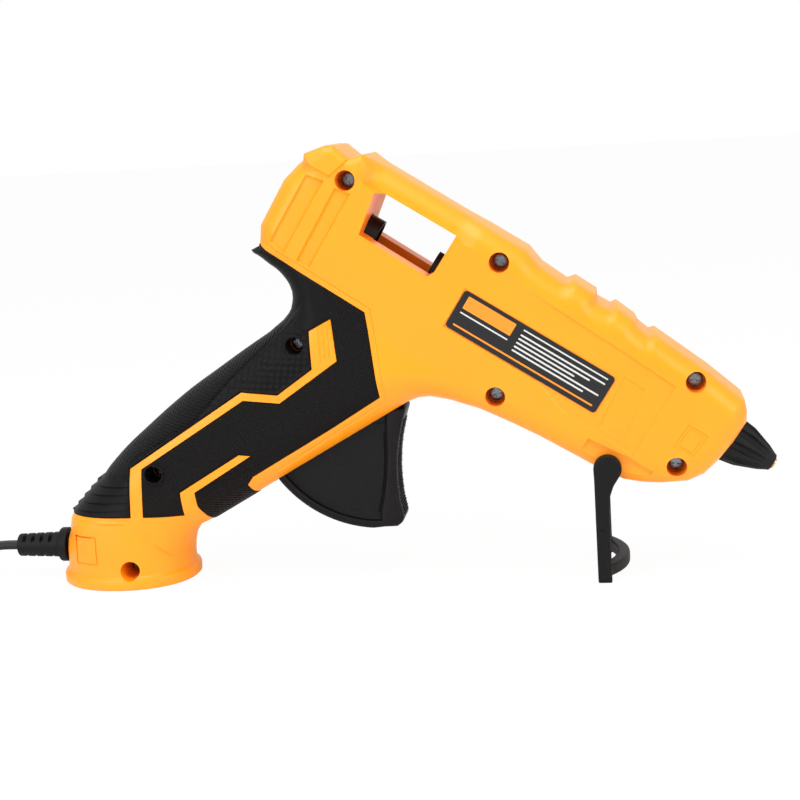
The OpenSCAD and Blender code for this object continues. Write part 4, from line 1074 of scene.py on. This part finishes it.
def squarish(a, power):
    """Cosine and sine of an angle, pushed out towards a square."""
    c, s = math.cos(a), math.sin(a)
    return math.copysign(abs(c) ** power, c), math.copysign(abs(s) ** power, s)


BOW_X, BOW_R = 154.4, 28.29
reach = math.asin(18.6 / BOW_R)
section = [squarish(math.pi / 12 * (k + 0.5), 0.35) for k in range(24)]
rows = [[(BOW_X + (BOW_R + 2.3 * u) * math.cos(a), (BOW_R + 2.3 * u) * math.sin(a), 4.3 + 2.1 * v) for u, v in section]
        for a in (reach * (2 * k / 34 - 1) for k in range(35))]
combine(legs[0], [lofted("crossbar", rows)], "UNION")
finished(legs[0], stand_black, "stand", "dark_plastic", "stand", angle=40)

# ---- Nozzle cover ----
# A black silicone cone over the brass nozzle, with flutes that run out towards a plain tip.

cover = turned("fluted_cone", [
    (156.5, 6.7), (156.5, 8.2), (156.8, 8.4), (163.2, 8.4), (163.9, 8.3), (168.6, 7.6), (176, 4.9), (179.2, 3.25),
    (179.7, 3.1), (179.9, 2.85), (179.9, 2.05), (178.4, 2.05), (165, 6), (160, 6.7)], 96, ring=True)
flute = turned("flute", [(-10.4, 0), (-10.2, 0.7), (-6, 1.45), (0, 1.55), (6, 1.15), (9.4, 0.6), (9.8, 0)], 20,
               lengthwise())
FLUTES, FLUTE_R, FLUTE_S, FLUTE_LEAN = 10, 7.1, 169.6, math.atan2(2.05, 7.5)
angles = [2 * math.pi * (k + 0.5) / FLUTES for k in range(FLUTES)]
flute_places = [on_feed(FLUTE_S, FLUTE_R * math.sin(a), FLUTE_R * math.cos(a)) for a in angles]
flute_turns = [tuple((Matrix.Rotation(FEED[0], 3, "Y") @ Matrix.Rotation(-a, 3, "X")
                      @ Matrix.Rotation(FLUTE_LEAN, 3, "Y")).to_euler("XYZ")) for a in angles]
combine(cover, [repeated("flutes", flute, flute_places, flute_turns)])
finished(cover, silicone, "housing", "silicone", "nozzle_cover", angle=30)

# ---- Cord boot ----
# A soft black boot with a collar against the casing and staggered slots that let it bend.

boot_black = moulded_black("flexible_pvc_black", 0.5, 0.02, 0.5)
boot = turned("cord_boot", [
    (-43.85, 4), (-43.55, 4.25), (-27.85, 4.75), (-27.45, 5.6), (-27.15, 6.2), (-26.75, 6.4), (-24.15, 6.4),
    (-23.9, 6.2), (-23.9, 4.2), (-20, 4.2), (-20, 6.2), (-18.45, 6.2), (-18.25, 6)], 56, lengthwise(z=CORD_EXIT[2]))
gap = chamfered(block("gap", (-0.7, -5.4, -2.0), (0.7, 5.4, 2.0)), 0.2, 50)
gap_places = [(-41 + 3.4 * k, 0, CORD_EXIT[2] + 3.9 * side) for k in range(4) for side in (-1, 1)]
combine(boot, [repeated("gaps", gap, gap_places)])
loose = flat_section(CORD_WIDTH + 0.04, CORD_THICKNESS + 0.04)
combine(boot, [lofted("cord_hole", [[(x, u, CORD_EXIT[2] + v) for u, v in loose] for x in (-50, -10)])])
finished(boot, boot_black, "housing", "cord_rubber", "strain_relief")

# ---- Coil tie ----
# A soft black band round the hank, with round edges and a ribbed face.

tie_black = moulded_black("silicone_band_black", 0.4, 0.02, 0.55)
tie_outer = rounded_box((-23, 0.02), (-10.2, 11.98), 1.6)
tie_inner = rounded_box((-22.15, 0.8), (-11.05, 11.15), 1.1)
rows = [[(x, y, z) for y, z in outline] for outline, x in
        ((tie_inner, -143.3), (tie_outer, -143.3), (tie_outer, -135.5), (tie_inner, -135.5))]
tie = chamfered(lofted("cord_tie", rows, ring=True), 0.3, 50)
rib = block("rib", (-3.0, -0.25, -0.12), (3.0, 0.25, 0.12))
combine(tie, [repeated("tie_ribs", rib, [(-139.4, -22 + 1.2 * k, 11.98) for k in range(10)])])
finished(tie, tie_black, "housing", "silicone", "coil_tie")

# ---- Plug ----
# A flat two-pin moulded plug: a tapered body with grip ridges, and round brass pins, thicker at their roots.

PLUG = Vector((-207, -6, 6.85))
PINS = [PLUG + Vector((0, y, 0)) for y in (-9.5, 9.5)]
plug_black = moulded_black("rigid_pvc_black", 0.6, 0.015, 0.4)
# Stages along the body: distance, half width, half height and how square the section is.
stages = [(0.2, 3.0, 3.0, 2), (0.6, 3.2, 3.2, 2), (1.2, 3.3, 3.2, 2), (4, 4.6, 4.2, 2.4), (8, 6.2, 4.8, 2.6),
          (12, 9.4, 5.4, 2.8), (16.5, 13.2, 6.2, 3), (20.5, 16.2, 6.7, 3.4), (22, 16.75, 6.8, 3.6),
          (33.6, 16.9, 6.82, 3.8), (34.5, 16.6, 6.6, 3.8), (35, 15.9, 6.0, 3.8)]
rows = []
for a, w, h, e in stages:
    around = [squarish(2 * math.pi * (k + 0.5) / 56, 2 / e) for k in range(56)]
    rows.append([(PLUG.x - a, PLUG.y + w * u, PLUG.z + h * v) for u, v in around])
plug = lofted("moulded_plug", rows)
ridge = turned("ridge", [(-5.2, 0.3), (-4.6, 0.62), (4.6, 0.62), (5.2, 0.3)], 12, crosswise(0, 0))
ridge_places = [PLUG + Vector((-13.5 - 2.4 * k, 0, side * (5.75 + 0.38 * k))) for k in range(3) for side in (-1, 1)]
combine(plug, [repeated("ridges", ridge, ridge_places)])
combine(plug, [turned("root", [(25, 2.32), (40, 2.32)], 32, lengthwise(*p, way=-1)) for p in PINS])
finished(plug, plug_black, "housing", "plug_plastic", "plug_body", angle=40)
pin = turned("pin", [(27, 2.3), (36, 2.3), (36, 2), (36.4, 1.97), (53, 1.97), (53.7, 1.6), (54, 1)], 40,
             lengthwise(way=-1))
pins = repeated("plug_contacts", pin, PINS, material=brass)
finished(pins, brass, "housing", "brass", "plug_pins", angle=40)
